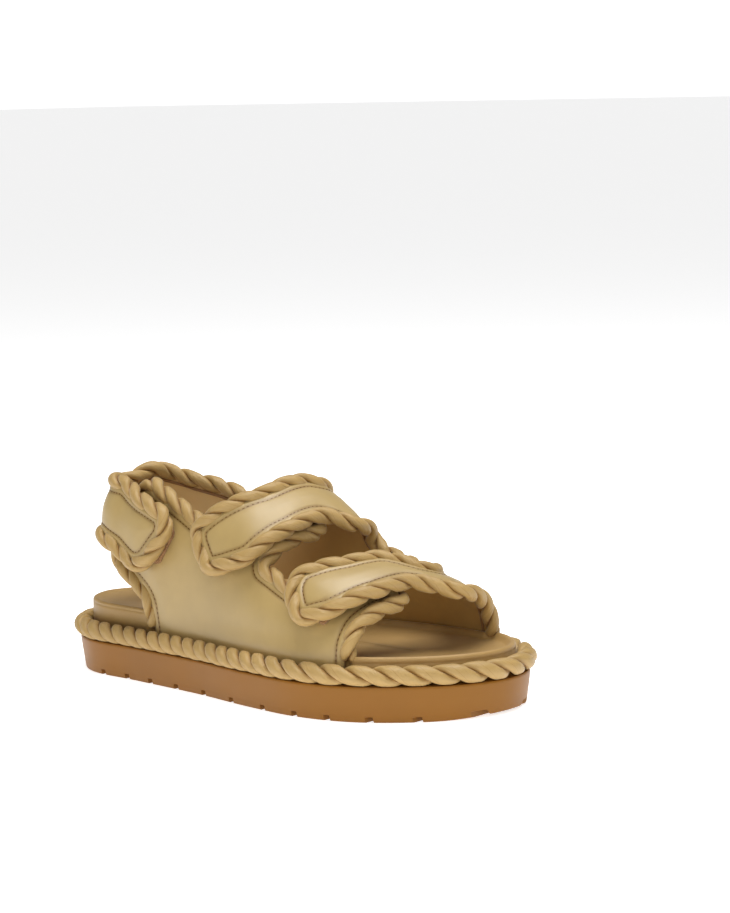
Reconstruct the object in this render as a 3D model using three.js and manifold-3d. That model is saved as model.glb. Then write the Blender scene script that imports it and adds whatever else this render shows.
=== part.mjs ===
// A right-foot rope sandal: a gum rubber outsole, a wrapped footbed, a twisted leather rope round the sole,
// a lateral quarter with three fingers, and a medial upper whose heel, instep and toe straps fasten over them.
// Millimetres. +X runs to the toe, +Y to the medial side, +Z up. The origin is on the floor at mid-length.
import * as THREE from "three";
import { mergeVertices } from "three/addons/utils/BufferGeometryUtils.js";
import Module from "manifold-3d";

const wasm = await Module();
wasm.setup();

// Driving dimensions.
const soleLength = 262; // rubber, at the floor
const soleWidth = 108; // the unit of the width tables
const rubberHeight = 17.2;
const rubberFlare = 2; // the top edge stands this far outside the floor edge
const floorEdge = 0.8; // rounding of the floor edge
const toeSpring = 1.6; // rise of the very tip
const grooveWidth = 3.5;
const grooveDepth = 2.8;
const gap = 0.3; // between neighbours
const soleRopeRadius = 4.8;
const soleRopeOut = 0.4; // rope centre line, outside the floor edge
const ropeRadius = 4.1; // rope along the straps
const wall = 3.2; // padded leather
const footbedHeel = 36; // height of the footbed's top at the heel
const footbedToe = 28; // and at the toe
const footbedEdge = 2.6; // rounding of its top edge
const footbedDish = 1.8;
const collarRise = 80; // the unit of the rise tables, up the side of the foot
const instepHeight = 75; // the unit of the crown column
const strapLift = 8.4; // a strap's middle over the quarter's middle
const patchUnit = 20; // the unit of the patches' lengths and widths
const patchCorner = 4;
const patchGap = 0.6; // above and below each fastener patch
const heelRound = 27; // turning radius of the charts round the heel
const heelDepth = 26; // how far the last reaches behind the heel axis
const heelAxis = 0.19; // share of the sole's length

const table = (columns, rows) =>
  rows.map((row) => Object.fromEntries(row.map((value, i) => [columns[i], value])));

// The floor edge of the rubber: shares of the sole's length and width.
const soleOutline = table(["at", "lateral", "medial"], [
  [0.0, -0.009, -0.009],
  [0.031, 0.177, 0.188],
  [0.095, 0.288, 0.287],
  [0.229, 0.333, 0.308],
  [0.42, 0.401, 0.338],
  [0.573, 0.479, 0.413],
  [0.706, 0.518, 0.474],
  [0.821, 0.468, 0.468],
  [0.916, 0.315, 0.407],
  [0.977, 0.13, 0.269],
  [1.0, -0.074, 0.074],
]);

// The last over the footbed: where its ridge runs, how far each side reaches and how high it stands.
const lastSections = table(["at", "ridge", "lateral", "medial", "crown"], [
  [0.19, 0.0, 0.278, 0.278, 1.12],
  [0.271, 0.037, 0.301, 0.296, 1.25],
  [0.385, 0.12, 0.324, 0.301, 1.2],
  [0.481, 0.15, 0.361, 0.315, 0.96],
  [0.576, 0.13, 0.407, 0.352, 0.74],
  [0.672, 0.1, 0.44, 0.394, 0.575],
  [0.767, 0.08, 0.449, 0.412, 0.455],
  [0.863, 0.07, 0.389, 0.389, 0.335],
  [0.939, 0.06, 0.278, 0.278, 0.27],
]);

// Where the grooves cross the tread: shares of the sole's length.
const grooves = [0.134, 0.204, 0.275, 0.353, 0.437, 0.525, 0.618, 0.702, 0.773, 0.849, 0.918, 0.985];

// Rope lines of the uppers. side says where a corner lies; at is a share of the sole's length, or of the heel's
// quarter turn; up is a share of the collar's rise, or past the ridge; round is the corner's radius.
const corner = ["side", "at", "up", "round"];
const lateralEdge = table(corner, [
  ["lateral", 0.268, 0, 0],
  ["lateral", 0.264, 0.3, 14],
  ["lateral", 0.15, 0.53, 10],
  ["lateral", 0.222, 1.05, 9],
  ["lateral", 0.455, 0.7, 10],
  ["lateral", 0.52, 1.14, 8],
  ["lateral", 0.588, 1.12, 8],
  ["lateral", 0.55, 0.61, 6],
  ["lateral", 0.69, 0.44, 9],
  ["lateral", 0.748, 0.76, 8],
  ["lateral", 0.828, 0.7, 7],
  ["lateral", 0.803, 0.35, 20],
  ["lateral", 0.798, 0, 0],
]);
const medialRear = table(corner, [
  ["medial", 0.271, 0, 0],
  ["medial", 0.275, 0.381, 16],
  ["medial", 0.172, 0.619, 25],
  ["heel", 0, 0.65, 40],
  ["heel", -0.7, 0.675, 25],
  ["lateral", 0.268, 0.492, 11],
  ["lateral", 0.345, 0.79, 8],
  ["lateral", 0.2, 0.965, 30],
  ["heel", -0.55, 0.985, 40],
  ["heel", 0.25, 1.08, 40],
  ["medial", 0.204, 0.98, 40],
  ["medial", 0.294, 0.893, 20],
  ["medial", 0.39, 0.74, 14],
  ["medial", 0.45, 0.86, 20],
  ["ridge", 0.51, -0.1, 10],
  ["ridge", 0.492, 0.08, 20],
  ["across", 0.486, 1.04, 30],
  ["across", 0.402, 0.722, 9],
  ["across", 0.45, 0.55, 10],
  ["across", 0.54, 0.62, 25],
  ["across", 0.568, 0.86, 25],
  ["ridge", 0.574, 0.15, 20],
  ["ridge", 0.625, -0.04, 12],
  ["medial", 0.6, 0.67, 12],
  ["medial", 0.637, 0.585, 25],
]);
const medialToe = table(corner, [
  ["medial", 0.745, 0.52, 8],
  ["medial", 0.8, 0.65, 12],
  ["ridge", 0.785, 0.0, 14],
  ["ridge", 0.73, 0.14, 20],
  ["across", 0.708, 0.72, 20],
  ["across", 0.646, 0.515, 8],
  ["across", 0.707, 0.31, 9],
  ["across", 0.768, 0.365, 25],
  ["across", 0.8, 0.56, 25],
  ["ridge", 0.815, 0.18, 20],
  ["ridge", 0.855, 0.07, 20],
  ["ridge", 0.895, 0.0, 25],
  ["medial", 0.87, 0.33, 25],
  ["medial", 0.858, 0, 0],
]);

// Fastener patches: loops on the quarter, hooks under each strap's tab. heading is the way the strap runs, in
// degrees on the chart, which has its first axis along the foot from the heel and its second up the side.
// length and width are in patch units.
const patchColumns = ["strap", "at", "up", "heading", "length", "width"];
const loopPatches = table(patchColumns, [
  ["heel", 0.271, 0.706, 210, 1.3, 1.05],
  ["instep", 0.462, 0.612, -70, 0.4, 0.8],
  ["toe", 0.728, 0.4, -60, 0.45, 0.75],
]);
const hookPatches = table(patchColumns, [
  ["heel", 0.248, 0.743, 210, 1.1, 0.775],
  ["instep", 0.48, 0.77, -55, 0.9, 0.65],
  ["toe", 0.727, 0.487, -50, 0.65, 0.55],
]);

// Interpolation that keeps a table's rises and falls, and starts level.
function smoothColumn(rows, column) {
  const xs = rows.map((row) => row.at);
  const ys = rows.map((row) => row[column]);
  const slope = xs.slice(1).map((x, i) => (ys[i + 1] - ys[i]) / (x - xs[i]));
  const tangent = xs.map((_, i) => {
    if (i === 0) return 0;
    if (i === xs.length - 1) return slope[i - 1];
    if (slope[i - 1] * slope[i] <= 0) return 0;
    return (2 * slope[i - 1] * slope[i]) / (slope[i - 1] + slope[i]);
  });
  return (x) => {
    const clamped = Math.min(Math.max(x, xs[0]), xs[xs.length - 1]);
    let i = 0;
    while (i < xs.length - 2 && clamped > xs[i + 1]) i += 1;
    const h = xs[i + 1] - xs[i];
    const t = (clamped - xs[i]) / h;
    const rise = (3 - 2 * t) * t * t;
    const bulge = h * t * (1 - t) * ((1 - t) * tangent[i] - t * tangent[i + 1]);
    return ys[i] * (1 - rise) + ys[i + 1] * rise + bulge;
  };
}

const toX = (at) => (at - 0.5) * soleLength;
const toAt = (x) => x / soleLength + 0.5;
const smoothStep = (t) => {
  const k = Math.min(Math.max(t, 0), 1);
  return k * k * (3 - 2 * k);
};

// Sole outline

const outlineSteps = 110;
const floorCurve = new THREE.CatmullRomCurve3(
  [
    ...soleOutline.map((row) => new THREE.Vector3(toX(row.at), -row.lateral * soleWidth, 0)),
    ...soleOutline.slice(1, -1).reverse().map((row) => new THREE.Vector3(toX(row.at), row.medial * soleWidth, 0)),
  ],
  true,
  "centripetal",
);

// Points round the sole, a distance outside the floor edge.
function outlineAt(out, steps = outlineSteps) {
  const points = [];
  for (let i = 0; i < steps; i += 1) {
    const p = floorCurve.getPointAt(i / steps);
    const t = floorCurve.getTangentAt(i / steps);
    points.push(new THREE.Vector2(p.x + out * t.y, p.y - out * t.x));
  }
  return points;
}

// How far the outline reaches to one side at a place along the sole.
function reachFrom(points, side, x) {
  let best = 0;
  points.forEach((a, i) => {
    const b = points[(i + 1) % points.length];
    if ((a.x - x) * (b.x - x) > 0 || a.x === b.x) return;
    const y = a.y + ((b.y - a.y) * (x - a.x)) / (b.x - a.x);
    best = Math.max(best, side * y);
  });
  return best;
}

// The last

const uppersFloor = rubberHeight + 2 * gap;
const springLine = 24; // the last's sides stand upright below this height
const fullness = 2.5; // of the superellipse over it
const tuckFoot = 26; // up to this height the last's sides stand over the footbed's
const tuckTop = 38; // and above this one they have their own reach
const sectionSteps = 40;
const upperInset = soleRopeRadius + gap + wall / 2 - soleRopeOut;
const tuckLine = outlineAt(-upperInset, 240);
const ridgeAt = smoothColumn(lastSections, "ridge");
const lateralAt = smoothColumn(lastSections, "lateral");
const medialAt = smoothColumn(lastSections, "medial");
const crownAt = smoothColumn(lastSections, "crown");
const heelX = toX(heelAxis);
const heelArc = (heelRound * Math.PI) / 2;

// One side of the last's cross-section at a station u: mm along the side from the middle of the heel, lateral
// stations being negative. Its points come with their girths, the distances up the side.
const sections = new Map();
function sectionAt(u) {
  const key = u.toFixed(2);
  if (sections.has(key)) return sections.get(key);
  const side = u < 0 ? -1 : 1;
  const turn = Math.min(Math.abs(u) / heelRound, Math.PI / 2);
  const x = heelX + Math.max(Math.abs(u) - heelArc, 0);
  const at = toAt(x);
  const ridge = ridgeAt(at) * soleWidth;
  const reach = (side < 0 ? lateralAt(at) : medialAt(at)) * soleWidth;
  const top = springLine + crownAt(at) * instepHeight;
  const out = heelDepth * Math.cos(turn) ** 2 + (reach - side * ridge) * Math.sin(turn) ** 2;
  const tuck = (reach - reachFrom(tuckLine, side, x)) * Math.sin(turn) ** 2;
  const points = [];
  const add = (r, z) => {
    const pulled = r - tuck * (1 - smoothStep((z - tuckFoot) / (tuckTop - tuckFoot)));
    points.push(
      new THREE.Vector3(x - Math.cos(turn) * pulled, ridge + side * Math.sin(turn) * pulled, z),
    );
  };
  add(out, uppersFloor);
  for (let i = 0; i <= sectionSteps; i += 1) {
    const a = (i / sectionSteps) * (Math.PI / 2);
    const share = Math.abs(Math.cos(a)) ** (2 / fullness);
    add(out * (i === sectionSteps ? 0 : share), springLine + (top - springLine) * Math.sin(a) ** (2 / fullness));
  }
  const girths = [0];
  for (let i = 1; i < points.length; i += 1) girths.push(girths[i - 1] + points[i].distanceTo(points[i - 1]));
  const made = { points, girths, girth: girths[girths.length - 1] };
  sections.set(key, made);
  return made;
}

function alongSection({ points, girths }, g) {
  let i = 1;
  while (i < points.length - 1 && girths[i] < g) i += 1;
  return points[i - 1].clone().lerp(points[i], (g - girths[i - 1]) / (girths[i] - girths[i - 1]));
}

// The last's surface by station and girth. Past the ridge it runs down the other side.
function onLast(u, g) {
  const here = sectionAt(u);
  if (g <= here.girth) return alongSection(here, g);
  const other = sectionAt(-u);
  return alongSection(other, other.girth - (g - here.girth));
}

function outward(u, g) {
  const probe = 1.5;
  const alongU = onLast(u + probe, g).sub(onLast(u - probe, g));
  const alongG = onLast(u, g + probe).sub(onLast(u, g - probe));
  return alongG.cross(alongU).normalize();
}

const liftedPoint = (lift) => (u, g, out = 0) =>
  onLast(u, g).addScaledVector(outward(u, g), lift(u, g) + out);

const stationOf = (at, side) => side * (toX(at) - heelX + heelArc);

// A corner of an edge table as a place on the chart.
function chartPlace({ side, at, up, round }) {
  const rise = up * collarRise;
  if (side === "heel") return { u: at * heelArc, g: rise, round };
  if (side === "lateral") return { u: stationOf(at, -1), g: rise, round };
  const u = stationOf(at, 1);
  if (side === "medial") return { u, g: rise, round };
  if (side === "ridge") return { u, g: sectionAt(u).girth + rise, round };
  return { u, g: sectionAt(u).girth + sectionAt(-u).girth - rise, round };
}

// How far the medial upper is lifted off the last: nothing on its own side, and strapLift where a strap
// lies over the quarter.
function medialLift(u, g) {
  const heelStart = 12;
  const heelRun = 22;
  const ridgeStart = -40;
  const ridgeRun = 46;
  const collarRun = 30;
  if (u <= heelArc) return strapLift * smoothStep((-u - heelStart) / heelRun);
  const overRidge = smoothStep((g - sectionAt(u).girth - ridgeStart) / ridgeRun);
  return strapLift * overRidge * smoothStep((u - heelArc) / collarRun);
}
const noLift = () => 0;

// Lines on the chart

// A polyline with each corner rounded by its radius.
function roundedLine(places) {
  const line = [];
  places.forEach((place, i) => {
    const p = new THREE.Vector2(place.u, place.g);
    if (!place.round || i === 0 || i === places.length - 1) {
      line.push(p);
      return;
    }
    const before = new THREE.Vector2(places[i - 1].u, places[i - 1].g).sub(p);
    const after = new THREE.Vector2(places[i + 1].u, places[i + 1].g).sub(p);
    const half = Math.acos(THREE.MathUtils.clamp(before.clone().normalize().dot(after.clone().normalize()), -1, 1)) / 2;
    const run = Math.min(place.round / Math.tan(half), 0.49 * before.length(), 0.49 * after.length());
    const a = p.clone().addScaledVector(before.normalize(), run);
    const b = p.clone().addScaledVector(after.normalize(), run);
    const radius = run * Math.tan(half);
    const centre = p.clone().addScaledVector(before.add(after).normalize(), radius / Math.sin(half));
    const start = a.clone().sub(centre).angle();
    let sweep = b.clone().sub(centre).angle() - start;
    if (sweep > Math.PI) sweep -= 2 * Math.PI;
    if (sweep < -Math.PI) sweep += 2 * Math.PI;
    const steps = Math.max(2, Math.ceil(Math.abs(sweep) * radius));
    for (let k = 0; k <= steps; k += 1) {
      const angle = start + (sweep * k) / steps;
      line.push(centre.clone().add(new THREE.Vector2(Math.cos(angle), Math.sin(angle)).multiplyScalar(radius)));
    }
  });
  return line;
}

function lengthsOf(line) {
  const lengths = [0];
  for (let i = 1; i < line.length; i += 1) lengths.push(lengths[i - 1] + line[i].distanceTo(line[i - 1]));
  return lengths;
}

function pointAlong(line, lengths, d) {
  let i = 1;
  while (i < line.length - 1 && lengths[i] < d) i += 1;
  return line[i - 1].clone().lerp(line[i], (d - lengths[i - 1]) / (lengths[i] - lengths[i - 1]));
}

// The line cut into equal steps near a given length.
function evenly(line, step) {
  const lengths = lengthsOf(line);
  const total = lengths[lengths.length - 1];
  const count = Math.max(2, Math.round(total / step));
  return Array.from({ length: count + 1 }, (_, i) => pointAlong(line, lengths, (total * i) / count));
}

// The line moved sideways over the leather, to its left. The chart is skewed where the foot tapers, so the step is
// measured in space.
function beside(line, distance, surface) {
  const probe = 0.75;
  return line.map((p, i) => {
    const along = line[Math.min(i + 1, line.length - 1)].clone().sub(line[Math.max(i - 1, 0)]).normalize();
    const du = surface(p.x + probe, p.y).sub(surface(p.x - probe, p.y)).divideScalar(2 * probe);
    const dg = surface(p.x, p.y + probe).sub(surface(p.x, p.y - probe)).divideScalar(2 * probe);
    const run = du.clone().multiplyScalar(along.x).addScaledVector(dg, along.y);
    const left = du.clone().cross(dg).cross(run).normalize();
    const [uu, ug, gg] = [du.dot(du), du.dot(dg), dg.dot(dg)];
    const det = uu * gg - ug * ug;
    const stepU = (gg * du.dot(left) - ug * dg.dot(left)) / det;
    const stepG = (uu * dg.dot(left) - ug * du.dot(left)) / det;
    return new THREE.Vector2(p.x + stepU * distance, p.y + stepG * distance);
  });
}

// Meshes

function meshFrom(name, geometry, material) {
  const mesh = new THREE.Mesh(geometry, material);
  mesh.name = name;
  return mesh;
}

function geometryOf(positions, indices) {
  const geometry = new THREE.BufferGeometry();
  geometry.setAttribute("position", new THREE.Float32BufferAttribute(positions.flatMap((p) => [p.x, p.y, p.z]), 3));
  geometry.setIndex(indices);
  return geometry;
}

function solidOf(geometry) {
  const bare = geometry.clone();
  bare.deleteAttribute("normal");
  bare.deleteAttribute("uv");
  const merged = mergeVertices(bare, 1e-4);
  return new wasm.Manifold(
    new wasm.Mesh({
      numProp: 3,
      vertProperties: new Float32Array(merged.attributes.position.array),
      triVerts: new Uint32Array(merged.index.array),
    }),
  );
}

function geometryFrom(solid) {
  const { vertProperties, triVerts, numProp } = solid.getMesh();
  const geometry = new THREE.BufferGeometry();
  const positions = [];
  for (let i = 0; i < vertProperties.length; i += numProp) positions.push(...vertProperties.slice(i, i + 3));
  geometry.setAttribute("position", new THREE.Float32BufferAttribute(positions, 3));
  geometry.setIndex(Array.from(triVerts));
  return geometry;
}

// A closed skin over rings of equal count, with both ends capped. Rings run anticlockwise seen from the last.
function loft(rings, capShape) {
  const count = rings[0].length;
  const indices = [];
  for (let r = 0; r + 1 < rings.length; r += 1) {
    for (let i = 0; i < count; i += 1) {
      const a = r * count + i;
      const b = r * count + ((i + 1) % count);
      indices.push(a, b, a + count, b, b + count, a + count);
    }
  }
  const last = (rings.length - 1) * count;
  for (const [i, j, k] of capShape) indices.push(k, j, i, last + i, last + j, last + k);
  return geometryOf(rings.flat(), indices);
}

// Triangles over scattered places on the chart.
function delaunay(places) {
  const far = 1e4;
  const all = [...places, new THREE.Vector2(-far, -far), new THREE.Vector2(far, -far), new THREE.Vector2(0, far)];
  const circle = (tri) => {
    const [a, b, c] = tri.map((i) => all[i]);
    const d = 2 * (a.x * (b.y - c.y) + b.x * (c.y - a.y) + c.x * (a.y - b.y));
    const x = (a.lengthSq() * (b.y - c.y) + b.lengthSq() * (c.y - a.y) + c.lengthSq() * (a.y - b.y)) / d;
    const y = (a.lengthSq() * (c.x - b.x) + b.lengthSq() * (a.x - c.x) + c.lengthSq() * (b.x - a.x)) / d;
    return { tri, x, y, r2: (a.x - x) ** 2 + (a.y - y) ** 2 };
  };
  let kept = [circle([places.length, places.length + 1, places.length + 2])];
  places.forEach((p, n) => {
    const hit = kept.filter((t) => (p.x - t.x) ** 2 + (p.y - t.y) ** 2 < t.r2);
    const edges = hit.flatMap(({ tri: [a, b, c] }) => [[a, b], [b, c], [c, a]]);
    const rim = edges.filter(([a, b]) => !edges.some(([c, d]) => c === b && d === a));
    kept = kept.filter((t) => !hit.includes(t));
    rim.forEach(([a, b]) => kept.push(circle([a, b, n])));
  });
  return kept.map((t) => t.tri).filter((tri) => tri.every((i) => i < places.length));
}

function inside(rim, p) {
  let hits = false;
  rim.forEach((a, i) => {
    const b = rim[(i + 1) % rim.length];
    if (a.y > p.y !== b.y > p.y && p.x < ((b.x - a.x) * (p.y - a.y)) / (b.y - a.y) + a.x) hits = !hits;
  });
  return hits;
}

// A flat pattern cut to its rim and bent over the last, as thick as the leather.
function panelGeometry(rim, surface, inner, outer, mesh = 9) {
  const places = rim.map((p) => p.clone());
  const box = new THREE.Box2().setFromPoints(rim);
  const clear = 0.52 * mesh;
  let odd = false;
  for (let v = box.min.y + 0.41 * mesh; v < box.max.y; v += 0.87 * mesh) {
    odd = !odd;
    for (let u = box.min.x + (odd ? 0.5 : 0) * mesh; u < box.max.x; u += mesh) {
      const p = new THREE.Vector2(u, v);
      if (inside(rim, p) && rim.every((q) => q.distanceTo(p) > clear)) places.push(p);
    }
  }
  const middle = (tri) => tri.reduce((sum, i) => sum.add(places[i]), new THREE.Vector2()).divideScalar(3);
  const faces = delaunay(places).filter((tri) => inside(rim, middle(tri)));
  const edges = new Set(faces.flatMap(([a, b, c]) => [a + "-" + b, b + "-" + c, c + "-" + a]));
  rim.forEach((_, i) => {
    if (!edges.has(i + "-" + ((i + 1) % rim.length))) throw new Error("the rim is too coarse at point " + i);
  });
  const positions = [inner, outer].flatMap((out) => places.map((p) => surface(p.x, p.y, out)));
  const n = places.length;
  const indices = [];
  for (const [a, b, c] of faces) indices.push(n + c, n + b, n + a, a, b, c);
  for (let i = 0; i < rim.length; i += 1) {
    const j = (i + 1) % rim.length;
    indices.push(i, n + j, j, i, n + i, n + j);
  }
  return geometryOf(positions, indices);
}

const anticlockwise = (rim) => (THREE.ShapeUtils.area(rim) < 0 ? rim.slice().reverse() : rim);

// A rope of three strands along a line in space. across gives the direction off the leather at each point;
// bump is the distance from one strand to the next along the rope.
const ropeSides = 6;
const strandValley = 0.72;
const twistStep = Math.PI / 3;
function ropeGeometry(pointAt, acrossAt, total, radius, bump, closed = false) {
  const dense = 1200;
  const turns = [0];
  for (let i = 1; i <= dense; i += 1) {
    const d = (total * (i - 0.5)) / dense;
    turns.push(turns[i - 1] + (total / dense) * ((2 * Math.PI) / 3 / bump(d)));
  }
  const whole = turns[dense];
  const unit = closed ? (2 * Math.PI) / 3 : twistStep;
  const steps = Math.round(Math.round(whole / unit) * (unit / twistStep));
  const rings = [];
  for (let s = 0; s <= (closed ? steps - 1 : steps); s += 1) {
    const target = (whole * s) / steps;
    const i = Math.min(turns.findIndex((t) => t >= target - 1e-9), dense);
    const d = Math.min((total * i) / dense, total);
    const centre = pointAt(d);
    const ahead = pointAt(closed ? (d + 1) % total : Math.min(d + 1, total));
    const behind = pointAt(closed ? (d - 1 + total) % total : Math.max(d - 1, 0));
    const along = ahead.sub(behind).normalize();
    const off = acrossAt(d).addScaledVector(along, -acrossAt(d).dot(along)).normalize();
    const side = along.clone().cross(off);
    rings.push(
      Array.from({ length: ropeSides }, (_, k) => {
        const angle = twistStep * (s + k);
        const r = radius * (k % 2 ? strandValley : 1);
        return centre.clone().addScaledVector(off, r * Math.cos(angle)).addScaledVector(side, r * Math.sin(angle));
      }),
    );
  }
  if (!closed) return loft(rings, [[0, 1, 2], [0, 2, 3], [0, 3, 4], [0, 4, 5]]);
  // A closed rope ends a whole number of strands round, so its last ring meets its first turned by that much.
  const shift = (((steps % ropeSides) + ropeSides) % ropeSides);
  const indices = [];
  rings.forEach((_, r) => {
    const next = (r + 1) % rings.length;
    for (let i = 0; i < ropeSides; i += 1) {
      const j = (i + 1) % ropeSides;
      const turn = next === 0 ? shift : 0;
      const a = r * ropeSides + i;
      const b = r * ropeSides + j;
      const c = next * ropeSides + ((i + turn) % ropeSides);
      const d = next * ropeSides + ((j + turn) % ropeSides);
      indices.push(a, b, c, b, d, c);
    }
  });
  return geometryOf(rings.flat(), indices);
}

// A strap rope along a line on the chart.
function strapRope(name, line, surface, bumpAt, start, end) {
  const space = line.map((p) => surface(p.x, p.y));
  const lengths = lengthsOf(space);
  const total = lengths[lengths.length - 1] - start - end;
  const chartAt = (d) => {
    let i = 1;
    while (i < space.length - 1 && lengths[i] < d + start) i += 1;
    const t = (d + start - lengths[i - 1]) / (lengths[i] - lengths[i - 1]);
    return line[i - 1].clone().lerp(line[i], t);
  };
  const pointAt = (d) => {
    const p = chartAt(d);
    return surface(p.x, p.y);
  };
  const acrossAt = (d) => {
    const p = chartAt(d);
    return outward(p.x, p.y);
  };
  return meshFrom(name, ropeGeometry(pointAt, acrossAt, total, ropeRadius, bumpAt), ropeLeather);
}

// Finishes

const gum = new THREE.MeshStandardMaterial({ color: 0xb9783c, roughness: 0.55, metalness: 0 });
const leather = new THREE.MeshStandardMaterial({ color: 0xc2a772, roughness: 0.55, metalness: 0 });
const ropeLeather = new THREE.MeshStandardMaterial({ color: 0xcbb17c, roughness: 0.5, metalness: 0 });
const bedLeather = new THREE.MeshStandardMaterial({ color: 0xb79c66, roughness: 0.6, metalness: 0 });
const pile = new THREE.MeshStandardMaterial({ color: 0x9a7454, roughness: 0.95, metalness: 0 });

// Sole

const toeStart = 0.93; // share of the length where the tip begins to rise
const springAt = (x) => toeSpring * Math.max(0, (toAt(x) - toeStart) / (1 - toeStart)) ** 2;
const capOf = (points) => THREE.ShapeUtils.triangulateShape(points, []);

function outsole() {
  const rim = outlineAt(0);
  const ring = (out, z, spring) => outlineAt(out).map((p) => new THREE.Vector3(p.x, p.y, z + springAt(p.x) * spring));
  const body = loft(
    [
      ring(-floorEdge, 0, 1),
      ring(0, floorEdge, 1),
      ring(rubberFlare * 0.7, rubberHeight * 0.6, 0),
      ring(rubberFlare, rubberHeight - 1, 0),
      ring(rubberFlare - 0.6, rubberHeight, 0),
    ],
    capOf(rim),
  );
  const cuts = grooves.map((at) =>
    solidOf(
      new THREE.BoxGeometry(grooveWidth, 2 * soleWidth, 2 * grooveDepth).translate(toX(at), 0, springAt(toX(at))),
    ),
  );
  const cut = cuts.reduce((solid, groove) => solid.subtract(groove), solidOf(body));
  return meshFrom("outsole", geometryFrom(cut), gum);
}

const footbedTop = (x) => footbedToe + (footbedHeel - footbedToe) * (1 - smoothStep((toAt(x) - 0.25) / 0.5));

function footbed(clearances) {
  const inset = soleRopeOut - soleRopeRadius - gap;
  const rim = outlineAt(inset);
  const spine = rim.map((p) => {
    const x = THREE.MathUtils.clamp(p.x, toX(0.13), toX(0.86));
    return new THREE.Vector2(x, (reachFrom(rim, 1, x) - reachFrom(rim, -1, x)) / 2);
  });
  const wallRing = (inward, drop) =>
    outlineAt(inset - inward).map((p) => new THREE.Vector3(p.x, p.y, footbedTop(p.x) - drop));
  const dishRing = (share, drop) =>
    rim.map((p, i) => {
      const q = spine[i].clone().lerp(p, share);
      return new THREE.Vector3(q.x, q.y, footbedTop(q.x) - drop);
    });
  const body = loft(
    [
      rim.map((p) => new THREE.Vector3(p.x, p.y, rubberHeight + gap)),
      wallRing(0, footbedEdge),
      wallRing(0.3 * footbedEdge, 0.3 * footbedEdge),
      wallRing(footbedEdge, 0),
      dishRing(0.72, 0.55 * footbedDish),
      dishRing(0.4, footbedDish),
    ],
    capOf(rim),
  );
  const cut = clearances.reduce((solid, clearance) => solid.subtract(solidOf(clearance)), solidOf(body));
  const whole = cut.decompose().reduce((best, piece) => (piece.volume() > best.volume() ? piece : best));
  return meshFrom("footbed", geometryFrom(whole), bedLeather);
}

function soleRope() {
  const line = outlineAt(soleRopeOut, 720);
  line.push(line[0].clone());
  const height = rubberHeight + gap + soleRopeRadius;
  const lengths = lengthsOf(line);
  const total = lengths[lengths.length - 1];
  const fine = 7;
  const coarse = 11;
  const pointAt = (d) => {
    const p = pointAlong(line, lengths, d);
    return new THREE.Vector3(p.x, p.y, height);
  };
  const bumpAt = (d) => fine + (coarse - fine) * smoothStep((toAt(pointAt(d).x) - 0.6) / 0.3);
  const geometry = ropeGeometry(pointAt, () => new THREE.Vector3(0, 0, 1), total, soleRopeRadius, bumpAt, true);
  return meshFrom("sole_rope", geometry, ropeLeather);
}

// Uppers

const leatherInset = ropeRadius + 2 * gap;
const strapBump = () => 10.5;
const baseTrim = 9.9; // the strap ropes stop this far up, over the sole rope

// The leather's rim: the rope line moved into the leather, closed along the base.
function leatherRim(edge, side, surface) {
  const rope = edge.map((p) => surface(p.x, p.y));
  const clearOf = (p) => rope.every((q) => q.distanceTo(surface(p.x, p.y)) > leatherInset - 0.2);
  const line = beside(edge, side * leatherInset, surface).filter(clearOf);
  line[0].y = 0;
  line[line.length - 1].y = 0;
  const upper = evenly(line, 5.5);
  const base = evenly([line[line.length - 1], line[0]], 9).slice(1, -1);
  return anticlockwise([...upper, ...base]);
}

function upperPanel(name, edge, side, surface) {
  return meshFrom(name, panelGeometry(leatherRim(edge, side, surface), surface, -wall / 2, wall / 2), leather);
}

const lateralLine = evenly(roundedLine(lateralEdge.map(chartPlace)), 1);
const medialLine = evenly(roundedLine([...medialRear, ...medialToe].map(chartPlace)), 1);
const quarterSurface = liftedPoint(noLift);
const strapSurface = liftedPoint(medialLift);

// The medial rope is in two lengths, which meet where the opening's lower edge runs into the toe strap.
const meeting = chartPlace(medialToe[0]);
const meetingIndex = medialLine.reduce(
  (best, p, i) =>
    Math.hypot(p.x - meeting.u, p.y - meeting.g) < Math.hypot(medialLine[best].x - meeting.u, medialLine[best].y - meeting.g)
      ? i
      : best,
  0,
);
const ropeBreak = ropeRadius + gap;

// Room in the footbed for the uppers: a strip of panel and a stub of each rope.
function footbedClearances(line, surface) {
  const stubTop = 26;
  const panelTop = 25;
  const us = [line[0].x, line[line.length - 1].x];
  const low = Math.min(...us) + 0.6 * ropeRadius;
  const high = Math.max(...us) - 0.6 * ropeRadius;
  const corners = [[low, -2 * gap], [high, -2 * gap], [high, panelTop], [low, panelTop], [low, -2 * gap]];
  const sides = corners.slice(1).map((end, i) => [corners[i], end].map(([u, g]) => new THREE.Vector2(u, g)));
  const strip = sides.flatMap((side) => evenly(side, 6).slice(1));
  const panel = panelGeometry(anticlockwise(strip), surface, -wall / 2 - 2 * gap, wall / 2 + 2 * gap);
  const stubs = [line, line.slice().reverse()].map((run) => {
    const part = run.filter((p, i) => p.y >= baseTrim - 4 * gap && p.y <= stubTop && i < 60);
    const rings = evenly(part, 5).map((p) => {
      const centre = surface(p.x, p.y);
      const off = outward(p.x, p.y);
      const side = off.clone().cross(new THREE.Vector3(0, 0, 1)).normalize();
      return Array.from({ length: 12 }, (_, k) => {
        const angle = (k * Math.PI) / 6;
        const r = (ropeRadius + 2 * gap) / Math.cos(Math.PI / 12);
        return centre.clone().addScaledVector(off, r * Math.cos(angle)).addScaledVector(side, -r * Math.sin(angle));
      });
    });
    return loft(rings, Array.from({ length: 10 }, (_, k) => [0, k + 1, k + 2]));
  });
  return [panel, ...stubs];
}

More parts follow.
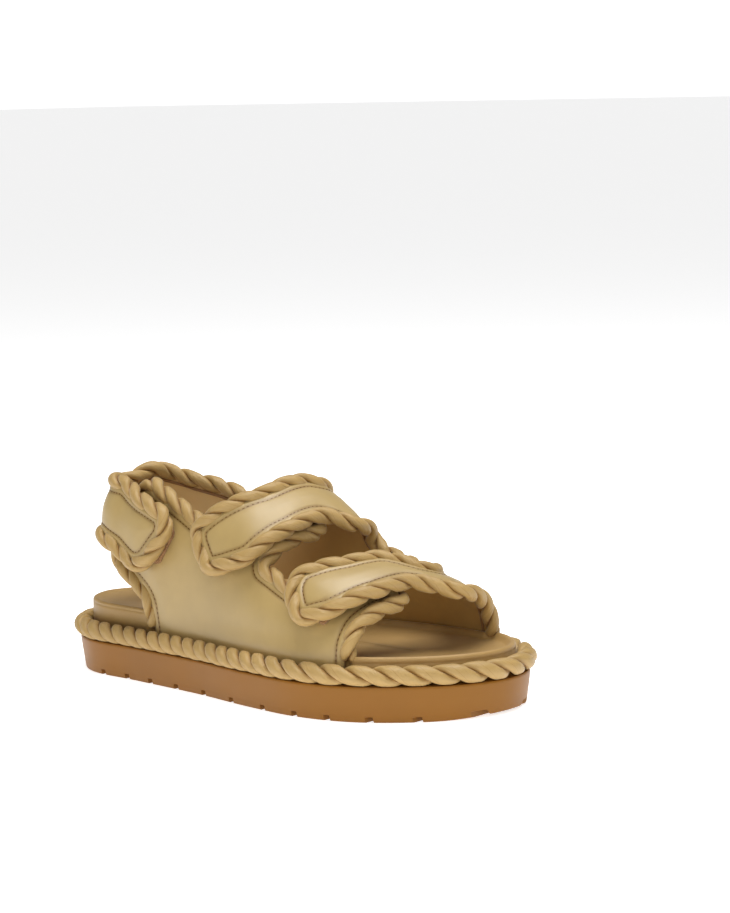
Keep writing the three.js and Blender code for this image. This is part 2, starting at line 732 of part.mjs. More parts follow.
// A fastener patch, its underside a height above the quarter's middle.
const patchThickness = (strapLift - wall - 3 * patchGap) / 2;
function fastenerPatch(name, { at, up, heading, length, width }, floor) {
  const centre = new THREE.Vector2(stationOf(at, -1), up * collarRise);
  const along = new THREE.Vector2(1, 0).rotateAround(new THREE.Vector2(), THREE.MathUtils.degToRad(heading));
  const across = new THREE.Vector2(-along.y, along.x);
  const place = (x, y) => {
    const ahead = (x * length * patchUnit) / 2;
    const aside = (y * width * patchUnit) / 2;
    const p = centre.clone().addScaledVector(along, ahead).addScaledVector(across, aside);
    return { u: p.x, g: p.y, round: patchCorner };
  };
  const places = [place(0, -1), place(1, -1), place(1, 1), place(-1, 1), place(-1, -1), place(0, -1)];
  const rim = anticlockwise(evenly(roundedLine(places), 3.5).slice(1));
  return meshFrom(name, panelGeometry(rim, quarterSurface, floor, floor + patchThickness, 8), pile);
}

const sandal = new THREE.Group();
sandal.add(
  outsole(),
  footbed([
    ...footbedClearances(lateralLine, quarterSurface),
    ...footbedClearances(medialLine, strapSurface),
  ]),
  soleRope(),
  upperPanel("lateral_quarter", lateralLine, 1, quarterSurface),
  upperPanel("medial_upper", medialLine, -1, strapSurface),
  strapRope("lateral_rope", lateralLine, quarterSurface, strapBump, baseTrim, baseTrim),
  strapRope("heel_and_instep_rope", medialLine.slice(0, meetingIndex + 1), strapSurface, strapBump, baseTrim, 2 * ropeBreak),
  strapRope("toe_strap_rope", medialLine.slice(meetingIndex), strapSurface, strapBump, 0, baseTrim),
);
const loopFloor = wall / 2 + patchGap;
const hookFloor = loopFloor + patchThickness + patchGap;
for (const patch of loopPatches) sandal.add(fastenerPatch(patch.strap + "_loop_patch", patch, loopFloor));
for (const patch of hookPatches) sandal.add(fastenerPatch(patch.strap + "_hook_patch", patch, hookFloor));

export default sandal;
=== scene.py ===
# %% [markdown]
# # A rope sandal
# The real thing is a padded leather sandal on a caramel rubber sole. Every edge of the leather carries a
# rope of two soft leather strands, and a thicker rope of the same kind runs right round the sole. The
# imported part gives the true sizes, so each piece here is a finer version of one of its solids, in the same
# place.

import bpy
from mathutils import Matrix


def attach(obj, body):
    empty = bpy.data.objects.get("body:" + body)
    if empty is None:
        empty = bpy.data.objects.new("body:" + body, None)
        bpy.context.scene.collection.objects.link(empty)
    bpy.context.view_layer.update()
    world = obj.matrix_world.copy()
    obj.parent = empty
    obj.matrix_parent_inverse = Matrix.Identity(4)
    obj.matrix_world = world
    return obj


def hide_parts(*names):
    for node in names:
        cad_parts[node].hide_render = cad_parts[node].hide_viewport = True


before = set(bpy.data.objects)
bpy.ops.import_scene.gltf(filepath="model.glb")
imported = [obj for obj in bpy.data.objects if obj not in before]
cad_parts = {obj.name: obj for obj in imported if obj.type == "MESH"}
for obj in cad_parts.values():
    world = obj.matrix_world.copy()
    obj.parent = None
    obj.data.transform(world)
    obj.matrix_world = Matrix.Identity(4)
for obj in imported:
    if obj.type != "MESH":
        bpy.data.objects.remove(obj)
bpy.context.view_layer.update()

import math
import random

import bmesh
import bpy
import numpy as np
from mathutils import Matrix, Vector
from mathutils.geometry import delaunay_2d_cdt

MM = 0.001

# %% [markdown]
# ## Tables
# A shoe is drawn from a few measured sections. The sole's edge is a table of half widths along its length.
# The last, the foot-shaped form that leather is pulled over, is a table of its ridge, its reach to each
# side and its height. Smooth interpolation between the rows gives the whole surface, and it keeps each
# table's rises and falls.

# %% Sizes and tables
SOLE_LENGTH = 262
SOLE_WIDTH = 108
RUBBER_HEIGHT = 17.2
RUBBER_FLARE = 2
FLOOR_EDGE = 0.8
TOE_SPRING = 1.6
TOE_SPRING_START = 0.93
SOLE_ROPE_RADIUS = 4.8
SOLE_ROPE_OUT = 0.4
STRAP_ROPE_RADIUS = 4.1
LEATHER = 3.2
GAP = 0.3
COLLAR_RISE = 80
INSTEP_HEIGHT = 75
STRAP_LIFT = 8.4
HEEL_ROUND = 27
HEEL_DEPTH = 26
HEEL_AXIS = 0.19
SPRING_LINE = 24
TUCK_FOOT = 26
TUCK_TOP = 38
FULLNESS = 2.5
UPPERS_FLOOR = RUBBER_HEIGHT + 2 * GAP

SOLE_OUTLINE = np.array([  # along, lateral, medial
    (0.0, -0.009, -0.009),
    (0.031, 0.177, 0.188),
    (0.095, 0.288, 0.287),
    (0.229, 0.333, 0.308),
    (0.42, 0.401, 0.338),
    (0.573, 0.479, 0.413),
    (0.706, 0.518, 0.474),
    (0.821, 0.468, 0.468),
    (0.916, 0.315, 0.407),
    (0.977, 0.13, 0.269),
    (1.0, -0.074, 0.074),
])
LAST = np.array([  # along, ridge, lateral, medial, crown
    (0.19, 0.0, 0.278, 0.278, 1.12),
    (0.271, 0.037, 0.301, 0.296, 1.25),
    (0.385, 0.12, 0.324, 0.301, 1.2),
    (0.481, 0.15, 0.361, 0.315, 0.96),
    (0.576, 0.13, 0.407, 0.352, 0.74),
    (0.672, 0.1, 0.44, 0.394, 0.575),
    (0.767, 0.08, 0.449, 0.412, 0.455),
    (0.863, 0.07, 0.389, 0.389, 0.335),
    (0.939, 0.06, 0.278, 0.278, 0.27),
])
GROOVES = (0.134, 0.204, 0.275, 0.353, 0.437, 0.525, 0.618, 0.702, 0.773, 0.849, 0.918, 0.985)
GROOVE_WIDTH = 3.5
GROOVE_DEPTH = 2.8


def along_to_x(along):
    return (along - 0.5) * SOLE_LENGTH


def smooth_step(t):
    t = np.clip(t, 0, 1)
    return t * t * (3 - 2 * t)


def smooth_column(table, column, along):
    """The column's value at each place along the sole, level at the start and without overshoot."""
    xs, ys = table[:, 0], table[:, column]
    slope = np.diff(ys) / np.diff(xs)
    product = slope[:-1] * slope[1:]
    total = np.where(product > 0, slope[:-1] + slope[1:], 1)
    middle = np.where(product > 0, 2 * product / total, 0)
    tangent = np.concatenate([[0], middle, slope[-1:]])
    x = np.clip(along, xs[0], xs[-1])
    i = np.clip(np.searchsorted(xs, x, side="left") - 1, 0, len(xs) - 2)
    h = xs[i + 1] - xs[i]
    t = (x - xs[i]) / h
    rise = (3 - 2 * t) * t * t
    bulge = h * t * (1 - t) * ((1 - t) * tangent[i] - t * tangent[i + 1])
    return ys[i] * (1 - rise) + ys[i + 1] * rise + bulge


# %% [markdown]
# ## The sole's outline
# The floor edge is a closed Catmull-Rom curve through the table's points. Every other line round the sole,
# such as the rope's centre line or the footbed's wall, is that curve moved straight outwards or inwards.

# %% Outline
def closed_curve(points, samples=60):
    """A centripetal Catmull-Rom curve through the points, then cut into equal steps."""
    p = [np.roll(points, k, axis=0) for k in (1, 0, -1, -2)]
    d = [np.linalg.norm(p[k + 1] - p[k], axis=1)[:, None] ** 0.5 for k in range(3)]
    t1 = ((p[1] - p[0]) / d[0] - (p[2] - p[0]) / (d[0] + d[1]) + (p[2] - p[1]) / d[1]) * d[1]
    t2 = ((p[2] - p[1]) / d[1] - (p[3] - p[1]) / (d[1] + d[2]) + (p[3] - p[2]) / d[2]) * d[1]
    t = (np.arange(samples) / samples)[:, None, None]
    cubic = 2 * p[1] - 2 * p[2] + t1 + t2
    square = -3 * p[1] + 3 * p[2] - 2 * t1 - t2
    curve = p[1] + t * t1 + t ** 2 * square + t ** 3 * cubic
    return curve.transpose(1, 0, 2).reshape(-1, points.shape[1])


def lengths_of(line):
    return np.concatenate([[0], np.cumsum(np.linalg.norm(np.diff(line, axis=0), axis=1))])


def at_lengths(line, wanted):
    lengths = lengths_of(line)
    return np.stack([np.interp(wanted, lengths, line[:, k]) for k in range(line.shape[1])], axis=1)


def evenly(line, step):
    """The line cut into equal steps near a given length."""
    total = lengths_of(line)[-1]
    count = max(2, round(total / step))
    return at_lengths(line, np.linspace(0, total, count + 1))


lateral_points = np.stack([along_to_x(SOLE_OUTLINE[:, 0]), -SOLE_OUTLINE[:, 1] * SOLE_WIDTH], axis=1)
medial_points = np.stack([along_to_x(SOLE_OUTLINE[:, 0]), SOLE_OUTLINE[:, 2] * SOLE_WIDTH], axis=1)
floor_curve = closed_curve(np.concatenate([lateral_points, medial_points[1:-1][::-1]]))


def outline(out, steps):
    """Points round the sole, a distance outside the floor edge, heel first and lateral side next."""
    closed = np.concatenate([floor_curve, floor_curve[:1]])
    line = at_lengths(closed, np.linspace(0, lengths_of(closed)[-1], steps + 1))[:-1]
    tangent = np.roll(line, -1, axis=0) - np.roll(line, 1, axis=0)
    tangent /= np.linalg.norm(tangent, axis=1)[:, None]
    return line + out * np.stack([tangent[:, 1], -tangent[:, 0]], axis=1)


def reach_of(line, side, xs):
    """How far the outline reaches to one side at each place along the sole."""
    half = line[side * line[:, 1] > side * 4] if side > 0 else line[line[:, 1] < 4]
    half = half[np.argsort(half[:, 0])]
    return side * np.interp(xs, half[:, 0], half[:, 1])


sole_girth = lengths_of(np.concatenate([floor_curve, floor_curve[:1]]))[-1]
print("Round the floor edge:", round(sole_girth), "mm")

# %% [markdown]
# ## The last
# Leather patterns are flat. Here each has two coordinates: u, the millimetres along the foot from the
# middle of the heel (lateral side negative), and g, the millimetres up the side. A lookup grid of the
# last's surface turns such a flat place into a place in space, and past the ridge the pattern runs down the
# other side.

# %% The last's surface
HEEL_X = along_to_x(HEEL_AXIS)
HEEL_ARC = HEEL_ROUND * math.pi / 2
CHART_STEP_U = 1.0
CHART_STEP_G = 0.5
CHART_G_MIN = -4
CHART_G_MAX = 190
upper_inset = SOLE_ROPE_RADIUS + GAP + LEATHER / 2 - SOLE_ROPE_OUT
tuck_line = outline(-upper_inset, 720)


def last_sections(u):
    """Cross-sections of the last at stations u: points [station, step, xyz] and their girths."""
    side = np.where(u < 0, -1.0, 1.0)
    turn = np.minimum(np.abs(u) / HEEL_ROUND, math.pi / 2)
    x = HEEL_X + np.maximum(np.abs(u) - HEEL_ARC, 0)
    along = x / SOLE_LENGTH + 0.5
    ridge = smooth_column(LAST, 1, along) * SOLE_WIDTH
    lateral = smooth_column(LAST, 2, along) * SOLE_WIDTH
    medial = smooth_column(LAST, 3, along) * SOLE_WIDTH
    reach = np.where(side < 0, lateral, medial)
    top = SPRING_LINE + smooth_column(LAST, 4, along) * INSTEP_HEIGHT
    out = HEEL_DEPTH * np.cos(turn) ** 2 + (reach - side * ridge) * np.sin(turn) ** 2
    foot = np.where(side < 0, reach_of(tuck_line, -1, x), reach_of(tuck_line, 1, x))
    tuck = (reach - foot) * np.sin(turn) ** 2
    angle = np.linspace(0, math.pi / 2, 81)
    share = np.abs(np.cos(angle)) ** (2 / FULLNESS)
    share[-1] = 0
    z = SPRING_LINE + (top - SPRING_LINE)[:, None] * np.sin(angle) ** (2 / FULLNESS)
    r = out[:, None] * share
    z = np.concatenate([np.full((len(u), 1), UPPERS_FLOOR), z], axis=1)
    r = np.concatenate([out[:, None], r], axis=1)
    r = r - tuck[:, None] * (1 - smooth_step((z - TUCK_FOOT) / (TUCK_TOP - TUCK_FOOT)))
    px = x[:, None] - np.cos(turn)[:, None] * r
    py = ridge[:, None] + (side * np.sin(turn))[:, None] * r
    points = np.stack([px, py, z], axis=2)
    steps = np.linalg.norm(np.diff(points, axis=1), axis=2)
    girths = np.concatenate([np.zeros((len(u), 1)), np.cumsum(steps, axis=1)], axis=1)
    return points, girths


chart_u = np.arange(-250, 250 + CHART_STEP_U, CHART_STEP_U)
chart_g = np.arange(CHART_G_MIN, CHART_G_MAX, CHART_STEP_G)
here_points, here_girths = last_sections(chart_u)
there_points, there_girths = here_points[::-1], here_girths[::-1]
ridge_girth = here_girths[:, -1]
chart = np.zeros((len(chart_u), len(chart_g), 3))
for i in range(len(chart_u)):
    below = chart_g < 0
    over = chart_g > ridge_girth[i]
    down = np.maximum(ridge_girth[::-1][i] - (chart_g - ridge_girth[i]), 0)
    for k in range(3):
        own = np.interp(chart_g, here_girths[i], here_points[i, :, k])
        other = np.interp(down, there_girths[i], there_points[i, :, k])
        chart[i, :, k] = np.where(over, other, own)
    chart[i, below, 2] += chart_g[below]


def on_last(places):
    """Places [n, (u, g)] on the flat pattern to points in space, in millimetres."""
    fu = np.clip((places[:, 0] - chart_u[0]) / CHART_STEP_U, 0, len(chart_u) - 1.001)
    fg = np.clip((places[:, 1] - CHART_G_MIN) / CHART_STEP_G, 0, len(chart_g) - 1.001)
    i, j = fu.astype(int), fg.astype(int)
    a, b = (fu - i)[:, None], (fg - j)[:, None]
    near = chart[i, j] * (1 - b) + chart[i, j + 1] * b
    far = chart[i + 1, j] * (1 - b) + chart[i + 1, j + 1] * b
    return near * (1 - a) + far * a


def outward(places, probe=1.5):
    du = on_last(places + [probe, 0]) - on_last(places - [probe, 0])
    dg = on_last(places + [0, probe]) - on_last(places - [0, probe])
    normal = np.cross(dg, du)
    return normal / np.linalg.norm(normal, axis=1)[:, None]


def girth_at(u):
    return np.interp(u, chart_u, ridge_girth)


def strap_lift(places):
    """How far the medial upper stands off the last: nothing on its own side, a full lift over the quarter."""
    u, g = places[:, 0], places[:, 1]
    heel = STRAP_LIFT * smooth_step((-u - 12) / 22)
    over = STRAP_LIFT * smooth_step((g - girth_at(u) + 40) / 46) * smooth_step((u - HEEL_ARC) / 30)
    return np.where(u <= HEEL_ARC, heel, over)


def no_lift(places):
    return np.zeros(len(places))


def place_on(places, lift, out=0.0):
    return on_last(places) + outward(places) * (lift(places) + out)[:, None]


print("Girth over the ridge at the instep:", round(float(girth_at(120) + girth_at(-120))), "mm")

# %% [markdown]
# ## Edge tables
# Each leather piece is cut to an edge with rounded corners. The tables hold those corners as shares of the
# sole's length and of the collar's rise, as in the part's source, and the rope follows exactly this line.

# %% Edges of the uppers
LATERAL_EDGE = [
    ("lateral", 0.268, 0, 0),
    ("lateral", 0.264, 0.3, 14),
    ("lateral", 0.15, 0.53, 10),
    ("lateral", 0.222, 1.05, 9),
    ("lateral", 0.455, 0.7, 10),
    ("lateral", 0.52, 1.14, 8),
    ("lateral", 0.588, 1.12, 8),
    ("lateral", 0.55, 0.61, 6),
    ("lateral", 0.69, 0.44, 9),
    ("lateral", 0.748, 0.76, 8),
    ("lateral", 0.828, 0.7, 7),
    ("lateral", 0.803, 0.35, 20),
    ("lateral", 0.798, 0, 0),
]
MEDIAL_REAR = [
    ("medial", 0.271, 0, 0),
    ("medial", 0.275, 0.381, 16),
    ("medial", 0.172, 0.619, 25),
    ("heel", 0, 0.65, 40),
    ("heel", -0.7, 0.675, 25),
    ("lateral", 0.268, 0.492, 11),
    ("lateral", 0.345, 0.79, 8),
    ("lateral", 0.2, 0.965, 30),
    ("heel", -0.55, 0.985, 40),
    ("heel", 0.25, 1.08, 40),
    ("medial", 0.204, 0.98, 40),
    ("medial", 0.294, 0.893, 20),
    ("medial", 0.39, 0.74, 14),
    ("medial", 0.45, 0.86, 20),
    ("ridge", 0.51, -0.1, 10),
    ("ridge", 0.492, 0.08, 20),
    ("across", 0.486, 1.04, 30),
    ("across", 0.402, 0.722, 9),
    ("across", 0.45, 0.55, 10),
    ("across", 0.54, 0.62, 25),
    ("across", 0.568, 0.86, 25),
    ("ridge", 0.574, 0.15, 20),
    ("ridge", 0.625, -0.04, 12),
    ("medial", 0.6, 0.67, 12),
    ("medial", 0.637, 0.585, 25),
]
MEDIAL_TOE = [
    ("medial", 0.745, 0.52, 8),
    ("medial", 0.8, 0.65, 12),
    ("ridge", 0.785, 0.0, 14),
    ("ridge", 0.73, 0.14, 20),
    ("across", 0.708, 0.72, 20),
    ("across", 0.646, 0.515, 8),
    ("across", 0.707, 0.31, 9),
    ("across", 0.768, 0.365, 25),
    ("across", 0.8, 0.56, 25),
    ("ridge", 0.815, 0.18, 20),
    ("ridge", 0.855, 0.07, 20),
    ("ridge", 0.895, 0.0, 25),
    ("medial", 0.87, 0.33, 25),
    ("medial", 0.858, 0, 0),
]


def station(along, side):
    return side * (along_to_x(along) - HEEL_X + HEEL_ARC)


def pattern_place(row):
    side, along, up, corner_radius = row
    rise = up * COLLAR_RISE
    if side == "heel":
        return (along * HEEL_ARC, rise, corner_radius)
    if side == "lateral":
        return (station(along, -1), rise, corner_radius)
    u = station(along, 1)
    if side == "medial":
        return (u, rise, corner_radius)
    if side == "ridge":
        return (u, girth_at(u) + rise, corner_radius)
    return (u, girth_at(u) + girth_at(-u) - rise, corner_radius)


def rounded_line(places):
    """A polyline with each corner rounded by its own radius."""
    line = []
    for i, (u, g, corner_radius) in enumerate(places):
        p = np.array([u, g])
        if not corner_radius or i in (0, len(places) - 1):
            line.append(p)
            continue
        before = np.array(places[i - 1][:2]) - p
        after = np.array(places[i + 1][:2]) - p
        room = 0.49 * min(np.linalg.norm(before), np.linalg.norm(after))
        before /= np.linalg.norm(before)
        after /= np.linalg.norm(after)
        half = math.acos(np.clip(before @ after, -1, 1)) / 2
        run = min(corner_radius / math.tan(half), room)
        radius = run * math.tan(half)
        middle = (before + after) / np.linalg.norm(before + after)
        centre = p + middle * radius / math.sin(half)
        first, last = p + before * run - centre, p + after * run - centre
        start = math.atan2(first[1], first[0])
        sweep = (math.atan2(last[1], last[0]) - start + math.pi) % (2 * math.pi) - math.pi
        steps = max(2, math.ceil(abs(sweep) * radius * 2))
        angles = start + sweep * np.arange(steps + 1) / steps
        line += list(centre + radius * np.stack([np.cos(angles), np.sin(angles)], axis=1))
    return np.array(line)


lateral_line = evenly(rounded_line([pattern_place(row) for row in LATERAL_EDGE]), 0.5)
medial_line = evenly(rounded_line([pattern_place(row) for row in MEDIAL_REAR + MEDIAL_TOE]), 0.5)
meeting = np.array(pattern_place(MEDIAL_TOE[0])[:2])
meeting_index = int(np.argmin(np.linalg.norm(medial_line - meeting, axis=1)))
print("Rope lines:", len(lateral_line), "and", len(medial_line), "steps of half a millimetre")

# %% [markdown]
# ## Materials
# Smooth nappa leather is a quiet surface: a khaki base that drifts a little, a very fine grain in the bump
# and a soft sheen from a thin finish coat, with painted shade along its sunken stitch groove. The lining is
# painted paler than the outside at the collar, as painted light, and darker towards the toe, as painted
# shade. The ropes are the same hide rolled round a soft core, so they add fine wrinkles across the strand,
# and painted shade darkens their creases and a dented fold line on each strand. Gum rubber is warmer, a
# little translucent and almost free of texture. All of them read object coordinates or the piece's own
# attributes.

# %% Finishes
def linear(red, green, blue):
    """A display colour from 0 to 255 as scene-linear values."""
    shares = [channel / 255 for channel in (red, green, blue)]
    return tuple(((share + 0.055) / 1.055) ** 2.4 for share in shares) + (1,)


class Finish:
    """A material under construction, with short calls for its nodes."""

    def __init__(self, name, base, roughness, specular=0.5):
        self.material = bpy.data.materials.new(name)
        self.material.use_nodes = True
        self.nodes = self.material.node_tree.nodes
        self.links = self.material.node_tree.links
        self.shader = self.nodes["Principled BSDF"]
        self.shader.inputs["Base Color"].default_value = base
        self.shader.inputs["Roughness"].default_value = roughness
        self.shader.inputs["Specular IOR Level"].default_value = specular
        self.colour = None
        self.bump = None
        self.base = base

    def add(self, kind, **values):
        node = self.nodes.new(kind)
        for key, value in values.items():
            setattr(node, key, value)
        return node

    def coordinates(self):
        return self.add("ShaderNodeTexCoord").outputs["Object"]

    def along(self, start, end):
        """0 to 1 between two places on the foot's length, in metres."""
        split = self.add("ShaderNodeSeparateXYZ")
        spread = self.add("ShaderNodeMapRange")
        spread.inputs["From Min"].default_value = start
        spread.inputs["From Max"].default_value = end
        self.links.new(self.coordinates(), split.inputs["Vector"])
        self.links.new(split.outputs["X"], spread.inputs["Value"])
        return spread.outputs["Result"]

    def attribute(self, name):
        return self.add("ShaderNodeAttribute", attribute_name=name).outputs["Fac"]

    def combine(self, x, y, z):
        node = self.add("ShaderNodeCombineXYZ")
        for value, socket in zip((x, y, z), node.inputs):
            self.links.new(value, socket)
        return node.outputs["Vector"]

    def noise(self, scale, detail=3.0, roughness=0.5, vector=None):
        node = self.add("ShaderNodeTexNoise")
        node.inputs["Scale"].default_value = scale
        node.inputs["Detail"].default_value = detail
        node.inputs["Roughness"].default_value = roughness
        self.links.new(vector or self.coordinates(), node.inputs["Vector"])
        return node.outputs["Fac"]

    def ramp(self, value, stops):
        node = self.add("ShaderNodeValToRGB")
        elements = node.color_ramp.elements
        while len(elements) < len(stops):
            elements.new(0.5)
        for element, (position, colour) in zip(elements, stops):
            element.position = position
            element.color = colour
        self.links.new(value, node.inputs["Fac"])
        return node.outputs["Color"]

    def tint(self, value, low, high):
        """Multiplies the base colour by a ramp from low to high over the value."""
        shade = self.ramp(value, [(low[0], low[1]), (high[0], high[1])])
        mix = self.add("ShaderNodeMix", data_type="RGBA", blend_type="MULTIPLY")
        mix.inputs["Factor"].default_value = 1
        if self.colour is None:
            mix.inputs["A"].default_value = self.base
        else:
            self.links.new(self.colour, mix.inputs["A"])
        self.links.new(shade, mix.inputs["B"])
        self.colour = mix.outputs["Result"]
        self.links.new(self.colour, self.shader.inputs["Base Color"])

    def relief(self, value, strength, distance):
        node = self.add("ShaderNodeBump")
        node.inputs["Strength"].default_value = strength
        node.inputs["Distance"].default_value = distance
        self.links.new(value, node.inputs["Height"])
        if self.bump is not None:
            self.links.new(self.bump, node.inputs["Normal"])
        self.bump = node.outputs["Normal"]
        self.links.new(self.bump, self.shader.inputs["Normal"])

    def gloss(self, value, low, high):
        node = self.add("ShaderNodeMapRange")
        node.inputs["To Min"].default_value = low
        node.inputs["To Max"].default_value = high
        self.links.new(value, node.inputs["Value"])
        self.links.new(node.outputs["Result"], self.shader.inputs["Roughness"])


def grey(level):
    return (level, level, level, 1)


def leather_finish(name, base, roughness, specular=0.45):
    finish = Finish(name, base, roughness, specular)
    finish.shader.inputs["Sheen Weight"].default_value = 0.12
    finish.shader.inputs["Sheen Roughness"].default_value = 0.4
    finish.tint(finish.noise(16, 2), (0.3, grey(0.94)), (0.7, grey(1.03)))
    finish.tint(finish.noise(150, 4), (0.3, grey(0.97)), (0.7, grey(1.02)))
    finish.gloss(finish.noise(60, 3), roughness - 0.06, roughness + 0.06)
    finish.relief(finish.noise(1400, 3, 0.6), 0.12, 0.0002)
    finish.relief(finish.noise(90, 2), 0.1, 0.0012)
    return finish


leather = leather_finish("smooth_khaki_leather", linear(178, 151, 95), 0.4, specular=0.65)
# Painted shade: the leather is darkened along its sunken stitch groove.
leather.tint(leather.attribute("stitch_groove_shade"), (0.0, grey(1.0)), (1.0, linear(196, 178, 150)))
# Painted light and shade: the lining is paler than the outer leather at the collar and darker towards the toe.
lining = leather_finish("lining_leather", linear(222, 188, 128), 0.6)
lining.tint(lining.along(-0.045, -0.01), (0.0, grey(1.0)), (1.0, linear(214, 202, 170)))
bed_leather = leather_finish("footbed_leather", linear(170, 136, 80), 0.5)
binding = leather_finish("brown_binding", linear(146, 108, 66), 0.55)
rope_leather = leather_finish("rolled_rope_leather", linear(178, 146, 88), 0.46)
strand = rope_leather.combine(*[rope_leather.attribute(name) for name in ("lay", "face", "flank")])
rope_leather.relief(rope_leather.noise(1.7, 3, 0.6, strand), 0.5, 0.0008)
rope_leather.relief(rope_leather.noise(5, 3, 0.6, strand), 0.35, 0.0004)
# Painted shade: each strand is darkened down in the crease where it meets the other.
rope_leather.tint(rope_leather.attribute("crease"), (0.0, grey(1.0)), (1.0, linear(214, 194, 168)))
# Painted shade: a narrow fold line on each strand's flank is dented by the bump and darkened by the tint.
fold_dent_and_shade = rope_leather.ramp(rope_leather.attribute("flank"), [(0.5, grey(0)), (0.55, grey(1)), (0.6, grey(0))])
rope_leather.relief(fold_dent_and_shade, -0.5, 0.0006)
rope_leather.tint(fold_dent_and_shade, (0.0, grey(1.0)), (1.0, linear(226, 208, 182)))

rubber = Finish("caramel_gum_rubber", linear(141, 93, 28), 0.42, specular=0.25)
rubber.shader.inputs["Subsurface Weight"].default_value = 0.06
rubber.shader.inputs["Subsurface Radius"].default_value = (0.004, 0.002, 0.001)
rubber.tint(rubber.noise(22, 3), (0.3, grey(0.95)), (0.7, grey(1.04)))
rubber.gloss(rubber.noise(70, 3), 0.36, 0.5)
rubber.relief(rubber.noise(900, 3), 0.05, 0.0002)

pile = Finish("hook_and_loop_pile", linear(160, 120, 80), 0.95, specular=0.15)
pile.shader.inputs["Sheen Weight"].default_value = 0.15
pile.tint(pile.noise(1500, 3), (0.35, grey(0.6)), (0.65, grey(1.25)))
pile.relief(pile.noise(1300, 3), 0.9, 0.0007)

thread = Finish("waxed_brown_thread", linear(96, 68, 34), 0.6, specular=0.1)
thread.tint(thread.noise(1200, 2), (0.3, grey(0.8)), (0.7, grey(1.15)))
print("Finishes:", [m.name for m in bpy.data.materials if m.users])

# %% [markdown]
# ## From a grid to a piece
# Ropes, walls and patches are all sheets with rows and columns, so one helper bends a bmesh grid onto an
# array of places, closes it where its columns meet, and caps its ends. The helper that finishes a piece
# gives it its material, puts it on the root body and hides the imported parts it stands for.

# %% Helpers for meshes
def finished_piece(name, bm, finish, slot_name, *nodes):
    bmesh.ops.recalc_face_normals(bm, faces=bm.faces)
    mesh = bpy.data.meshes.new(name)
    bm.to_mesh(mesh)
    bm.free()
    for polygon in mesh.polygons:
        polygon.use_smooth = True
    mesh.materials.append(finish.material)
    piece = bpy.data.objects.new(name, mesh)
    bpy.context.scene.collection.objects.link(piece)
    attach(piece, "root")
    if nodes:
        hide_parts(*nodes)
    print(name, len(mesh.polygons), "faces")
    return piece


def bent_grid(bm, places, closed=True, caps=True, layers=()):
    """Bends a grid onto places [row, column, xyz] in millimetres. layers are (name, values [row, column])."""
    rows, columns = places.shape[:2]
    across = columns + 1 if closed else columns
    floats = [bm.verts.layers.float.get(name) or bm.verts.layers.float.new(name) for name, _ in layers]
    made = bmesh.ops.create_grid(bm, x_segments=rows - 1, y_segments=across - 1, size=1)["verts"]
    for vert in made:
        i = round((vert.co.x + 1) / 2 * (rows - 1))
        j = round((vert.co.y + 1) / 2 * (across - 1)) % columns
        for layer, (_, values) in zip(floats, layers):
            vert[layer] = values[i, j]
        vert.co = Vector(places[i, j]) * MM
    if closed:
        bmesh.ops.remove_doubles(bm, verts=made, dist=1e-7)
    made = [vert for vert in made if vert.is_valid]
    if caps:
        rim = [edge for edge in bm.edges if edge.is_boundary and edge.verts[0] in set(made)]
        bmesh.ops.holes_fill(bm, edges=rim, sides=0)
    return made


# %% [markdown]
# ## Ropes
# A laid rope is two strands that turn round one line. The line has a frame: N off the leather and B to the
# side. At a twist angle a, a strand's middle lies at cos(a) N + sin(a) B, about half the rope's radius out.
# The soft strands press against each other, so their section is a flattened oval instead of a circle, and a
# little seeded unevenness keeps the lay from looking machined.

# %% Rope builder
STRANDS = 2
STRAND_AROUND = 18
ROPE_STEP = 0.85
STRAND_OUT = 0.45
STRAND_DEEP = 0.57
STRAND_WIDE = 0.76
random.seed(4)


def twist_along(line, bump):
    """The twist angle at each point of the line; bump is the distance from strand to strand."""
    steps = np.linalg.norm(np.diff(line, axis=0), axis=1)
    pitch = (bump[:-1] + bump[1:]) / 2
    return np.concatenate([[0], np.cumsum(steps * 2 * math.pi / STRANDS / pitch)])


